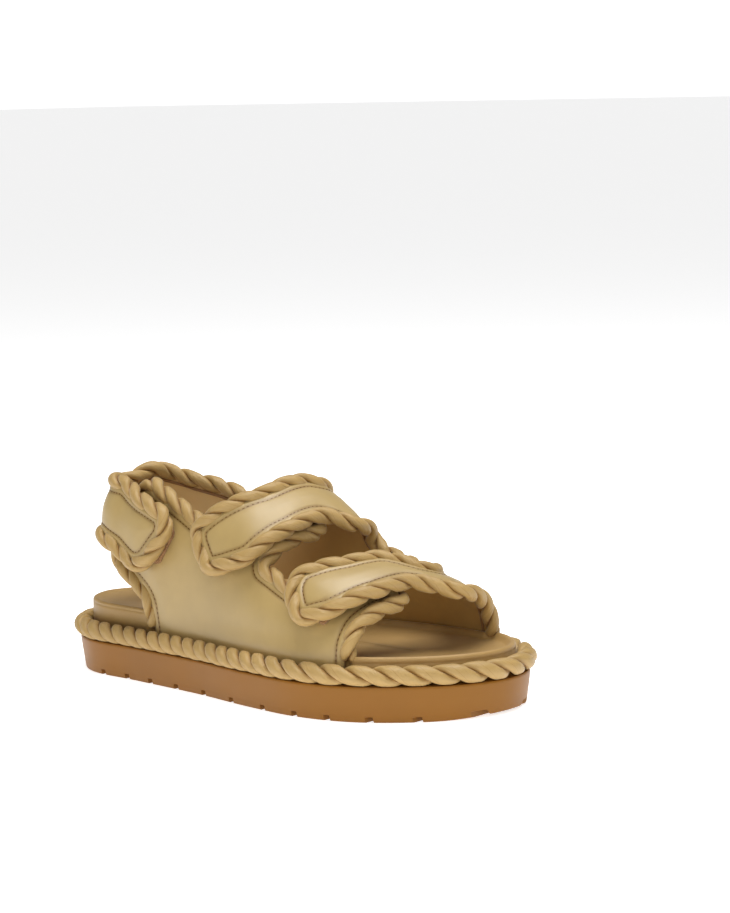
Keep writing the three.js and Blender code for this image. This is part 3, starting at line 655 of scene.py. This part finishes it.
def add_strands(bm, line, off, radius, twist, closed=False):
    if closed:
        along = np.roll(line, -1, axis=0) - np.roll(line, 1, axis=0)
    else:
        along = np.gradient(line, axis=0)
    along /= np.linalg.norm(along, axis=1)[:, None]
    off = off - along * np.sum(along * off, axis=1)[:, None]
    off /= np.linalg.norm(off, axis=1)[:, None]
    side = np.cross(along, off)
    around = np.arange(STRAND_AROUND) * 2 * math.pi / STRAND_AROUND
    for strand in range(STRANDS):
        angle = twist + strand * 2 * math.pi / STRANDS
        outwards = np.cos(angle)[:, None] * off + np.sin(angle)[:, None] * side
        sideways = -np.sin(angle)[:, None] * off + np.cos(angle)[:, None] * side
        phase = random.random() * 9
        uneven = 1 + 0.035 * np.sin(angle * 0.7 + phase) + 0.02 * np.sin(angle * 1.9 + 2 * phase)
        if not closed:
            ends = np.minimum(np.arange(len(line)), np.arange(len(line))[::-1])
            uneven = uneven * (0.35 + 0.65 * np.sqrt(np.clip(ends / 4, 0, 1)))
        deep = (STRAND_OUT + STRAND_DEEP * np.cos(around)[None, :] * uneven[:, None]) * radius
        wide = STRAND_WIDE * np.sin(around)[None, :] * uneven[:, None] * radius
        places = line[:, None] + deep[:, :, None] * outwards[:, None] + wide[:, :, None] * sideways[:, None]
        run = np.concatenate([[0], np.cumsum(np.linalg.norm(np.diff(places[:, 0], axis=0), axis=1))])
        # The crease value marks where painted shade darkens each strand, on its side towards the rope's core.
        layers = [
            ("lay", np.repeat(run[:, None] / 6 + 40 * strand, STRAND_AROUND, axis=1)),
            ("face", np.broadcast_to(np.cos(around), deep.shape)),
            ("flank", np.broadcast_to(np.sin(around), deep.shape)),
            ("crease", np.broadcast_to(smooth_step((-0.35 - np.cos(around)) / 0.35), deep.shape)),
        ]
        if closed:
            places = np.concatenate([places, places[:1]])
            layers = [(name, np.concatenate([values, values[:1]])) for name, values in layers]
        bent_grid(bm, places, caps=not closed, layers=layers)


def strap_rope(name, line, lift, start, end, node):
    """A rope along a line on the flat pattern, trimmed by start and end millimetres."""
    space = place_on(line, lift)
    lengths = lengths_of(space)
    count = round((lengths[-1] - start - end) / ROPE_STEP)
    wanted = np.linspace(start, lengths[-1] - end, count)
    pattern = np.stack([np.interp(wanted, lengths, line[:, k]) for k in range(2)], axis=1)
    centre = place_on(pattern, lift)
    twist = twist_along(centre, np.full(len(centre), STRAP_BUMP))
    bm = bmesh.new()
    add_strands(bm, centre, outward(pattern), STRAP_ROPE_RADIUS, twist)
    finished_piece(name, bm, rope_leather, "rope_leather", node)


STRAP_BUMP = 12.5
BASE_TRIM = 9.9
MEETING_TRIM = 8.6
rear_line, toe_line = medial_line[: meeting_index + 1], medial_line[meeting_index:]
strap_rope("lateral_edge_rope", lateral_line, no_lift, BASE_TRIM, BASE_TRIM, "lateral_rope")
strap_rope("heel_and_instep_edge_rope", rear_line, strap_lift, BASE_TRIM, MEETING_TRIM, "heel_and_instep_rope")
strap_rope("toe_edge_rope", toe_line, strap_lift, 0, BASE_TRIM, "toe_strap_rope")

# %% [markdown]
# The rope round the sole is laid tighter at the heel and looser at the toe. It closes on itself, so its
# twist is scaled to a whole number of turns, and each strand then runs on into itself at the join.

# %% Sole rope
FINE_LAY = 9.6
COARSE_LAY = 14
ring = outline(SOLE_ROPE_OUT, round(sole_girth / ROPE_STEP))
rope_height = RUBBER_HEIGHT + GAP + SOLE_ROPE_RADIUS
centre = np.concatenate([ring, np.full((len(ring), 1), rope_height)], axis=1)
lay = FINE_LAY + (COARSE_LAY - FINE_LAY) * smooth_step((ring[:, 0] / SOLE_LENGTH - 0.02) / 0.33)
closed_line = np.concatenate([centre, centre[:1]])
twist = twist_along(closed_line, np.concatenate([lay, lay[:1]]))
turns = round(twist[-1] / (2 * math.pi)) * 2 * math.pi
twist = twist[:-1] * turns / twist[-1]
bm = bmesh.new()
add_strands(bm, centre, np.tile([0.0, 0.0, 1.0], (len(ring), 1)), SOLE_ROPE_RADIUS, twist, closed=True)
bmesh.ops.remove_doubles(bm, verts=bm.verts, dist=1e-6)
finished_piece("sole_edge_rope", bm, rope_leather, "rope_leather", "sole_rope")

# %% [markdown]
# ## Cutting leather
# A padded strap is cut flat, stitched along its edge and pulled over the last. The mesh is made in the same
# order. The pattern's outline, even rows beside the rope and a grid in the middle are joined by triangles,
# and then every vertex moves to its place on the last. The distance to the edge sets how thick the padding
# is there.

# %% Pattern helpers
EDGE_ROWS = (0.9, 1.8, 2.6, 3.2, 3.8, 4.4, 5.2)
FILL_STEP = 1.6
FILL_CLEAR = 1.0
ROPE_OVERLAP = 1.9
STITCH_INSET = 5.7
STITCH_DEPTH = 0.45


def beside(line, distance, lift):
    """The line moved sideways over the last, to its left, by millimetres measured in space."""
    probe = 0.75
    along = np.gradient(line, axis=0)
    along /= np.linalg.norm(along, axis=1)[:, None]
    du = (place_on(line + [probe, 0], lift) - place_on(line - [probe, 0], lift)) / (2 * probe)
    dg = (place_on(line + [0, probe], lift) - place_on(line - [0, probe], lift)) / (2 * probe)
    run = du * along[:, :1] + dg * along[:, 1:]
    left = np.cross(np.cross(du, dg), run)
    left /= np.linalg.norm(left, axis=1)[:, None]
    uu, ug, gg = (du * du).sum(1), (du * dg).sum(1), (dg * dg).sum(1)
    lu, lg = (du * left).sum(1), (dg * left).sum(1)
    step = np.stack([gg * lu - ug * lg, uu * lg - ug * lu], axis=1) / (uu * gg - ug * ug)[:, None]
    moved = line + step * distance
    rope, space = place_on(line, lift), place_on(moved, lift)
    nearest = np.array([np.linalg.norm(rope - point, axis=1).min() for point in space])
    return moved[nearest > abs(distance) - 0.15]


def distance_to(rim, places):
    """Distance from each place to a closed rim, both on the pattern or both in space."""
    a, b = rim, np.roll(rim, -1, axis=0)
    best = np.full(len(places), 1e9)
    for p, q in zip(a, b):
        run = q - p
        t = np.clip(((places - p) @ run) / max(run @ run, 1e-9), 0, 1)
        best = np.minimum(best, np.linalg.norm(places - p - t[:, None] * run, axis=1))
    return best


def is_inside(rim, places):
    hits = np.zeros(len(places), bool)
    for p, q in zip(rim, np.roll(rim, -1, axis=0)):
        crosses = (p[1] > places[:, 1]) != (q[1] > places[:, 1])
        at = (q[0] - p[0]) * (places[:, 1] - p[1]) / (q[1] - p[1] if q[1] != p[1] else 1e-9) + p[0]
        hits ^= crosses & (places[:, 0] < at)
    return hits


def rows_beside(line, side, lift, rim):
    """Rows of places inside a leather piece, each a set depth in from the edge that its rope covers."""
    rows = [evenly(beside(line, side * (ROPE_OVERLAP + depth), lift), FILL_STEP * 0.8) for depth in EDGE_ROWS]
    rows = np.concatenate(rows)
    depth = distance_to(place_on(rim, lift), place_on(rows, lift))
    return rows[is_inside(rim, rows) & (depth > EDGE_ROWS[0] - 0.2)]


def rows_within(rim, depths):
    """Rows of places inside a small rounded patch, shrunk towards its middle."""
    centre = rim.mean(axis=0)
    reach = np.linalg.norm(rim - centre, axis=1)
    return np.concatenate([centre + (rim - centre) * (1 - depth / reach)[:, None] for depth in depths])


def flat_pattern(rim, rows, lift, clear, step):
    """A flat mesh of a cut pattern: its rim, rows along it, a grid within, and triangles between them."""
    low, high = rim.min(axis=0), rim.max(axis=0)
    us, gs = np.arange(low[0], high[0], step), np.arange(low[1], high[1], step)
    grid = np.stack(np.meshgrid(us, gs), axis=2).reshape(-1, 2)
    grid = grid[is_inside(rim, grid)]
    grid = grid[distance_to(place_on(rim, lift), place_on(grid, lift)) > clear]
    points = np.concatenate([rim, rows, grid])
    cut = delaunay_2d_cdt([Vector(p) for p in points], [], [list(range(len(rim)))], 1, 1e-4)
    bm = bmesh.new()
    verts = [bm.verts.new((p[0], p[1], 0)) for p in cut[0]]
    for triangle in cut[2]:
        bm.faces.new([verts[i] for i in triangle])
    bmesh.ops.delete(bm, geom=[vert for vert in bm.verts if not vert.link_faces], context="VERTS")
    bmesh.ops.recalc_face_normals(bm, faces=bm.faces)
    if sum(face.normal.z for face in bm.faces) < 0:
        bmesh.ops.reverse_faces(bm, faces=bm.faces)
    return bm


def bend_over_last(bm, rim, lift, outer, inner):
    """Moves a flat pattern onto the last as a wall; outer and inner give each face's height."""
    stitch_groove_shade = bm.verts.layers.float.new("stitch_groove_shade")
    bm.verts.ensure_lookup_table()
    flat = list(bm.verts)
    places = np.array([vert.co[:2] for vert in flat])
    edge = distance_to(place_on(rim, lift), place_on(places, lift))
    rim_edges = [e for e in bm.edges if e.is_boundary]
    copy = bmesh.ops.duplicate(bm, geom=bm.verts[:] + bm.edges[:] + bm.faces[:])
    twin = copy["vert_map"]
    bottom_edges = [copy["edge_map"][e] for e in rim_edges]
    bottom_faces = [g for g in copy["geom"] if isinstance(g, bmesh.types.BMFace)]
    for face in bottom_faces:
        face.material_index = 1
    bmesh.ops.reverse_faces(bm, faces=bottom_faces)
    top = place_on(places, lift, outer(edge))
    base = place_on(places, lift, inner(edge))
    # This value marks the stitch groove, where the leather gets painted shade.
    groove = np.exp(-(((edge - (STITCH_INSET - ROPE_OVERLAP)) / 0.7) ** 2))
    for vert, high, low, dark in zip(flat, top, base, groove):
        vert.co = Vector(high) * MM
        vert[stitch_groove_shade] = dark
        twin[vert].co = Vector(low) * MM
        twin[vert][stitch_groove_shade] = 0
    bmesh.ops.bridge_loops(bm, edges=rim_edges + bottom_edges)


def leather_rim(line, side, lift):
    """The cut edge of a leather piece, a little way in from its rope's centre line, closed along the base."""
    upper = beside(line, side * ROPE_OVERLAP, lift)
    upper[0, 1] = upper[-1, 1] = 0
    upper = evenly(upper, 1.5)
    base = evenly(np.stack([upper[-1], upper[0]]), 2.5)[1:-1]
    return np.concatenate([upper, base])


def padding(edge):
    """Half thickness of padded leather at a distance from its cut edge."""
    stitch = STITCH_INSET - ROPE_OVERLAP
    rolled = 1.1 + 0.6 * smooth_step(edge / 2)
    groove = STITCH_DEPTH * np.exp(-(((edge - stitch) / 0.75) ** 2))
    return rolled - groove + 0.6 * smooth_step((edge - stitch) / 8)


def lining_depth(edge):
    return -1.1 - 0.5 * smooth_step(edge / 3)


def leather_piece(name, line, side, lift, node):
    rim = leather_rim(line, side, lift)
    bm = flat_pattern(rim, rows_beside(line, side, lift, rim), lift, EDGE_ROWS[-1] + FILL_CLEAR, FILL_STEP)
    bend_over_last(bm, rim, lift, padding, lining_depth)
    piece = finished_piece(name, bm, leather, "leather", node)
    piece.data.materials.append(lining.material)


# %% [markdown]
# ## Uppers
# The lateral quarter has three fingers that point up under the straps. The medial side carries the heel
# strap, the instep strap and the toe strap, and their tabs lie over the quarter, so that part stands off
# the last.

# %% Leather uppers
leather_piece("lateral_quarter_leather", lateral_line, 1, no_lift, "lateral_quarter")
leather_piece("medial_upper_leather", medial_line, -1, strap_lift, "medial_upper")

# %% [markdown]
# ## Binding
# Inside, the raw edge under each rope is folded into a narrow brown binding. It shows in the collar, below
# the rope.

# %% Bindings
BINDING_INSET = 4.7
BINDING_DEPTH = 1.9
BINDING_HALF = (0.5, 0.9)
BINDING_START = 12


def edge_binding(name, line, side, lift):
    path = beside(line, side * BINDING_INSET, lift)
    path = evenly(path[path[:, 1] > BINDING_START], 1.5)
    centre = place_on(path, lift, -BINDING_DEPTH)
    along = np.gradient(centre, axis=0)
    along /= np.linalg.norm(along, axis=1)[:, None]
    off = outward(path)
    across = np.cross(along, off)
    angles = np.arange(8) * math.pi / 4
    deep = np.cos(angles)[None, :, None] * BINDING_HALF[0] * off[:, None]
    wide = np.sin(angles)[None, :, None] * BINDING_HALF[1] * across[:, None]
    bm = bmesh.new()
    bent_grid(bm, centre[:, None] + deep + wide)
    finished_piece(name, bm, binding, "leather")


edge_binding("lateral_binding", lateral_line, 1, no_lift)
edge_binding("medial_binding", medial_line, -1, strap_lift)

# %% [markdown]
# ## Stitches
# Waxed brown thread runs a few millimetres inside every rope. Each visible stitch is a short, slightly
# sunken grain of thread, so one tiny sphere is stretched and repeated along a line beside the rope.

# %% Stitch lines
STITCH_PITCH = 2.35
STITCH_LENGTH = 1.5
STITCH_THICK = 0.5
STITCH_START = 7


def stitch_line(bm, line, side, lift):
    path = beside(line, side * STITCH_INSET, lift)
    path = path[path[:, 1] > STITCH_START]
    lengths = lengths_of(place_on(path, lift))
    wanted = np.arange(STITCH_PITCH / 2, lengths[-1], STITCH_PITCH)
    pattern = np.stack([np.interp(wanted, lengths, path[:, k]) for k in range(2)], axis=1)
    height = float(padding(np.array([STITCH_INSET - ROPE_OVERLAP]))[0]) + 0.05
    places = place_on(pattern, lift, height)
    ahead = np.gradient(places, axis=0)
    normals = outward(pattern)
    for place, run, normal in zip(places, ahead, normals):
        x = Vector(run).normalized()
        z = (Vector(normal) - x * x.dot(Vector(normal))).normalized()
        y = z.cross(x)
        turn = Matrix((x, y, z)).transposed().to_4x4()
        size = Matrix.Diagonal((STITCH_LENGTH / 2, STITCH_THICK / 2, STITCH_THICK / 2, 1))
        where = Matrix.Translation(Vector(place) * MM) @ turn @ Matrix.Scale(MM, 4) @ size
        bmesh.ops.create_uvsphere(bm, u_segments=6, v_segments=4, radius=1, matrix=where)
    return len(places)


bm = bmesh.new()
count = stitch_line(bm, lateral_line, 1, no_lift)
count += stitch_line(bm, medial_line, -1, strap_lift)
finished_piece("edge_stitches", bm, thread, "leather")
print(count, "stitches")

# %% [markdown]
# ## Fastener patches
# The tabs close with hook-and-loop patches. Only a brown sliver of each loop patch shows past its tab, but
# both halves are there, cut as rounded rectangles from the same kind of pattern as the leather.

# %% Patches
PATCH_GAP = 0.6
PATCH_CORNER = 4
PATCH_UNIT = 20
PATCH_THICK = (STRAP_LIFT - LEATHER - 3 * PATCH_GAP) / 2
PATCH_ROWS = (0.4, 0.9)
PATCH_CLEAR = 1.6
PATCH_STEP = 1.4
LOOP_PATCHES = [  # strap, along, up, heading, length, width
    ("heel", 0.271, 0.706, 210, 1.3, 1.05),
    ("instep", 0.462, 0.612, -70, 0.4, 0.8),
    ("toe", 0.728, 0.4, -60, 0.45, 0.75),
]
HOOK_PATCHES = [
    ("heel", 0.248, 0.743, 210, 1.1, 0.775),
    ("instep", 0.48, 0.77, -55, 0.9, 0.65),
    ("toe", 0.727, 0.487, -50, 0.65, 0.55),
]


def fastener_patch(kind, row, floor):
    strap, along, up, heading, length, width = row
    centre = np.array([station(along, -1), up * COLLAR_RISE])
    angle = math.radians(heading)
    ahead = np.array([math.cos(angle), math.sin(angle)])
    across = np.array([-ahead[1], ahead[0]])
    corners = [(0, -1), (1, -1), (1, 1), (-1, 1), (-1, -1), (0, -1)]
    half = np.array([ahead * length, across * width]) * PATCH_UNIT / 2
    places = [(*(centre + x * half[0] + y * half[1]), PATCH_CORNER) for x, y in corners]
    rim = evenly(rounded_line(places), 1)[1:]
    bm = flat_pattern(rim, rows_within(rim, PATCH_ROWS), no_lift, PATCH_CLEAR, PATCH_STEP)

    def pile_top(edge):
        return floor + PATCH_THICK - 0.4 * (1 - smooth_step(edge / 0.8))

    def pile_floor(edge):
        return np.full(len(edge), floor)

    bend_over_last(bm, rim, no_lift, pile_top, pile_floor)
    piece = finished_piece(f"{strap}_{kind}_pile", bm, pile, "hook_and_loop", f"{strap}_{kind}_patch")
    piece.data.materials.append(pile.material)


loop_floor = LEATHER / 2 + PATCH_GAP
hook_floor = loop_floor + PATCH_THICK + PATCH_GAP
for row in LOOP_PATCHES:
    fastener_patch("loop", row, loop_floor)
for row in HOOK_PATCHES:
    fastener_patch("hook", row, hook_floor)

# %% [markdown]
# ## Footbed
# A foam bed wrapped in leather stands on the rubber inside the rope. It is a stack of outlines: up the
# wall, round a small raised edge, and down into the dish that holds the heel. Where the uppers pass it, the
# wall steps in.

# %% Footbed
BED_HEEL = 36
BED_TOE = 28
BED_DISH = 1.8
RIM_RISE = 2
BED_STEPS = 360
UPPERS_ROOM = 3.7


def bed_top(x):
    along = x / SOLE_LENGTH + 0.5
    return BED_TOE + (BED_HEEL - BED_TOE) * (1 - smooth_step((along - 0.25) / 0.5))


def room_for_uppers(line):
    """How far the wall steps in beside the leather: lateral and medial sides have their own stretch."""
    x = line[:, 0]

    def stretch(first, last):
        rear, front = along_to_x(first[1]) - UPPERS_ROOM, along_to_x(last[1]) + UPPERS_ROOM
        return smooth_step((x - rear) / 3) * smooth_step((front - x) / 3)

    lateral = stretch(LATERAL_EDGE[0], LATERAL_EDGE[-1]) * (line[:, 1] < 0)
    medial = stretch(MEDIAL_REAR[0], MEDIAL_TOE[-1]) * (line[:, 1] > 0)
    return UPPERS_ROOM * (lateral + medial)


bed_inset = SOLE_ROPE_OUT - SOLE_ROPE_RADIUS - GAP
floor_line = outline(0, BED_STEPS)
normal_in = (outline(-1, BED_STEPS) - floor_line)
bed_rim = outline(bed_inset, BED_STEPS)
bed_rim = bed_rim + normal_in * room_for_uppers(bed_rim)[:, None]
profile = [  # inwards, below the top, share of the toe's raised rim
    (0.0, None, 0.0),
    (0.0, 3.4, 0.0),
    (0.0, 2.0, 0.3),
    (0.3, 1.7, 0.4),
    (0.0, 1.4, 0.5),
    (0.1, 0.7, 0.7),
    (0.5, 0.2, 0.85),
    (1.2, 0.0, 1.0),
    (2.4, 0.1, 0.9),
    (3.4, 0.4, 0.5),
    (4.4, 0.8, 0.1),
    (5.4, 0.95, 0.0),
]
rings = []
for inwards, below, share in profile:
    line = bed_rim + normal_in * inwards
    raised = bed_top(line[:, 0]) + share * RIM_RISE * smooth_step((line[:, 0] / SOLE_LENGTH + 0.05) / 0.3)
    height = np.full(len(line), RUBBER_HEIGHT + GAP) if below is None else raised - below
    rings.append(np.concatenate([line, height[:, None]], axis=1))
edge_line = rings[-1][:, :2]
spine_x = np.clip(edge_line[:, 0], along_to_x(0.13), along_to_x(0.86))
spine_y = (reach_of(edge_line, 1, spine_x) - reach_of(edge_line, -1, spine_x)) / 2
spine = np.stack([spine_x, spine_y], axis=1)
for share in (0.9, 0.78, 0.66, 0.54, 0.42, 0.3, 0.18, 0.06):
    line = spine + (edge_line - spine) * share
    height = bed_top(line[:, 0]) - 0.95 - (BED_DISH - 0.95) * smooth_step((1 - share) / 0.7)
    rings.append(np.concatenate([line, height[:, None]], axis=1))
bm = bmesh.new()
bent_grid(bm, np.array(rings))
finished_piece("wrapped_footbed", bm, bed_leather, "footbed_leather", "footbed")

# %% [markdown]
# ## Outsole
# The rubber is one cast block. Outlines stacked from the rounded floor edge to the flared top give the
# block, and a boolean cuts the cross grooves, as a mould's ribs would. A narrow bevel takes the sharpness
# off.

# %% Outsole
SOLE_STEPS = 420


def toe_spring(x):
    along = x / SOLE_LENGTH + 0.5
    return TOE_SPRING * np.maximum(0, (along - TOE_SPRING_START) / (1 - TOE_SPRING_START)) ** 2


def sole_ring(out, height, spring):
    line = outline(out, SOLE_STEPS)
    return np.concatenate([line, (height + toe_spring(line[:, 0]) * spring)[:, None]], axis=1)


sole_rings = [
    sole_ring(-FLOOR_EDGE - 2, 0, 1),
    sole_ring(-FLOOR_EDGE, 0, 1),
    sole_ring(-0.35 * FLOOR_EDGE, 0.25 * FLOOR_EDGE, 1),
    sole_ring(0, FLOOR_EDGE, 1),
    sole_ring(0.35 * RUBBER_FLARE, 0.33 * RUBBER_HEIGHT, 0.5),
    sole_ring(0.7 * RUBBER_FLARE, 0.62 * RUBBER_HEIGHT, 0),
    sole_ring(RUBBER_FLARE, RUBBER_HEIGHT - 1.4, 0),
    sole_ring(RUBBER_FLARE, RUBBER_HEIGHT - 0.8, 0),
    sole_ring(RUBBER_FLARE - 0.3, RUBBER_HEIGHT - 0.2, 0),
    sole_ring(RUBBER_FLARE - 1.0, RUBBER_HEIGHT, 0),
]
bm = bmesh.new()
bent_grid(bm, np.array(sole_rings))
block = finished_piece("grooved_outsole", bm, rubber, "gum_rubber", "outsole")

bm = bmesh.new()
for along in GROOVES:
    x = float(along_to_x(along))
    size = Matrix.Diagonal((GROOVE_WIDTH * MM, 2 * SOLE_WIDTH * MM, 2 * GROOVE_DEPTH * MM, 1))
    middle = Matrix.Translation((x * MM, 0, float(toe_spring(np.array([x]))[0]) * MM))
    bmesh.ops.create_cube(bm, size=1, matrix=middle @ size)
bmesh.ops.bevel(
    bm, geom=[e for e in bm.edges if abs((e.verts[0].co - e.verts[1].co).y) > 0.01], offset=0.0005,
    segments=2, affect="EDGES", profile=0.5, material=-1,
)
cutter_mesh = bpy.data.meshes.new("mould_ribs")
bm.to_mesh(cutter_mesh)
bm.free()
cutter = bpy.data.objects.new("mould_ribs", cutter_mesh)
bpy.context.scene.collection.objects.link(cutter)
cut = block.modifiers.new("grooves", "BOOLEAN")
cut.object = cutter
cut.solver = "EXACT"
graph = bpy.context.evaluated_depsgraph_get()
cut_mesh = bpy.data.meshes.new_from_object(block.evaluated_get(graph))
block.modifiers.clear()
block.data = cut_mesh
bpy.data.objects.remove(cutter)
bm = bmesh.new()
bm.from_mesh(cut_mesh)
sharp = [e for e in bm.edges if len(e.link_faces) == 2 and e.calc_face_angle(0) > 0.7]
for edge in sharp:
    edge.smooth = False
bm.to_mesh(cut_mesh)
bm.free()
print("Outsole after its grooves:", len(cut_mesh.polygons), "faces")

# %% [markdown]
# ## Stage
# The photograph is a catalogue shot: a white floor that runs into a white wall, wide soft light from above
# and the toe's side, and hardly any shadow. A big pale floor and three area lights make the same.

# %% Floor
bm = bmesh.new()
bmesh.ops.create_grid(bm, x_segments=1, y_segments=1, size=40)
floor_mesh = bpy.data.meshes.new("studio_floor")
bm.to_mesh(floor_mesh)
bm.free()
floor = bpy.data.objects.new("studio_floor", floor_mesh)
bpy.context.scene.collection.objects.link(floor)
paper = Finish("white_paper", grey(0.85), 0.9, specular=0.1)
paper.tint(paper.noise(3, 2), (0.3, grey(0.99)), (0.7, grey(1.0)))
paper.shader.inputs["Emission Color"].default_value = grey(1)
paper.shader.inputs["Emission Strength"].default_value = 0.75
floor_mesh.materials.append(paper.material)

# %% Lights
world = bpy.data.worlds.new("studio")
bpy.context.scene.world = world
world.use_nodes = True
sky = world.node_tree
height = sky.nodes.new("ShaderNodeSeparateXYZ")
fade = sky.nodes.new("ShaderNodeMapRange")
fade.inputs["From Min"].default_value = 0.05
fade.inputs["From Max"].default_value = 0.13
fade.inputs["To Min"].default_value = 1.1
fade.inputs["To Max"].default_value = 0.15
sky.links.new(sky.nodes.new("ShaderNodeTexCoord").outputs["Generated"], height.inputs["Vector"])
sky.links.new(height.outputs["Z"], fade.inputs["Value"])
sky.links.new(fade.outputs["Result"], sky.nodes["Background"].inputs["Strength"])
sky.nodes["Background"].inputs["Color"].default_value = grey(1)


def soft_light(name, place, size, power, target=(0, 0, 0.04)):
    data = bpy.data.lights.new(name, "AREA")
    data.shape = "SQUARE"
    data.size = size
    data.energy = power
    light = bpy.data.objects.new(name, data)
    light.location = place
    light.rotation_euler = (Vector(target) - Vector(place)).to_track_quat("-Z", "Y").to_euler()
    bpy.context.scene.collection.objects.link(light)


soft_light("overhead", (0.1, 0.1, 1.5), 1.2, 26)
soft_light("toe_side", (1.5, -0.5, 0.8), 0.9, 1.5)
soft_light("front", (0.7, -1.3, 0.9), 1.0, 5.5)

# %% [markdown]
# ## Camera
# The photograph's viewpoint was worked out from the sole: its two floor edges and its two rope lines fix
# where the lens stood. It looks from the toe's lateral side, a little above the floor, with a long lens and
# a slight tilt.

# %% Camera
IMAGE_WIDTH = 730
IMAGE_HEIGHT = 913
SENSOR = 36
AZIMUTH = math.radians(42.01)
ELEVATION = math.radians(10.484)
TILT = math.radians(-1.4713)
CAMERA_DISTANCE = 1.50105
FOCAL_PIXELS = 3035.4
AIM = Vector((0, 0, 0.02))
AIM_PIXEL = (288.3, 645.0)

back = Vector((
    math.sin(AZIMUTH) * math.cos(ELEVATION),
    -math.cos(AZIMUTH) * math.cos(ELEVATION),
    math.sin(ELEVATION),
))
right = Vector((math.cos(AZIMUTH), math.sin(AZIMUTH), 0))
up = back.cross(right)
right, up = right * math.cos(TILT) + up * math.sin(TILT), up * math.cos(TILT) - right * math.sin(TILT)
facing = Matrix((right, up, back)).transposed().to_quaternion()
wanted = Vector((AIM_PIXEL[0] - IMAGE_WIDTH / 2, IMAGE_HEIGHT / 2 - AIM_PIXEL[1], -FOCAL_PIXELS)).normalized()
lens = bpy.data.cameras.new("camera")
lens.sensor_width = SENSOR
lens.lens = FOCAL_PIXELS * SENSOR / IMAGE_HEIGHT
lens.clip_start = 0.05
camera = bpy.data.objects.new("camera", lens)
camera.location = AIM + back * CAMERA_DISTANCE
camera.rotation_mode = "QUATERNION"
camera.rotation_quaternion = facing @ wanted.rotation_difference(Vector((0, 0, -1)))
bpy.context.scene.collection.objects.link(camera)
bpy.context.scene.camera = camera
bpy.context.scene.view_settings.view_transform = "Standard"
print("Camera at", [round(v, 3) for v in camera.location], "lens", round(lens.lens, 1), "mm")
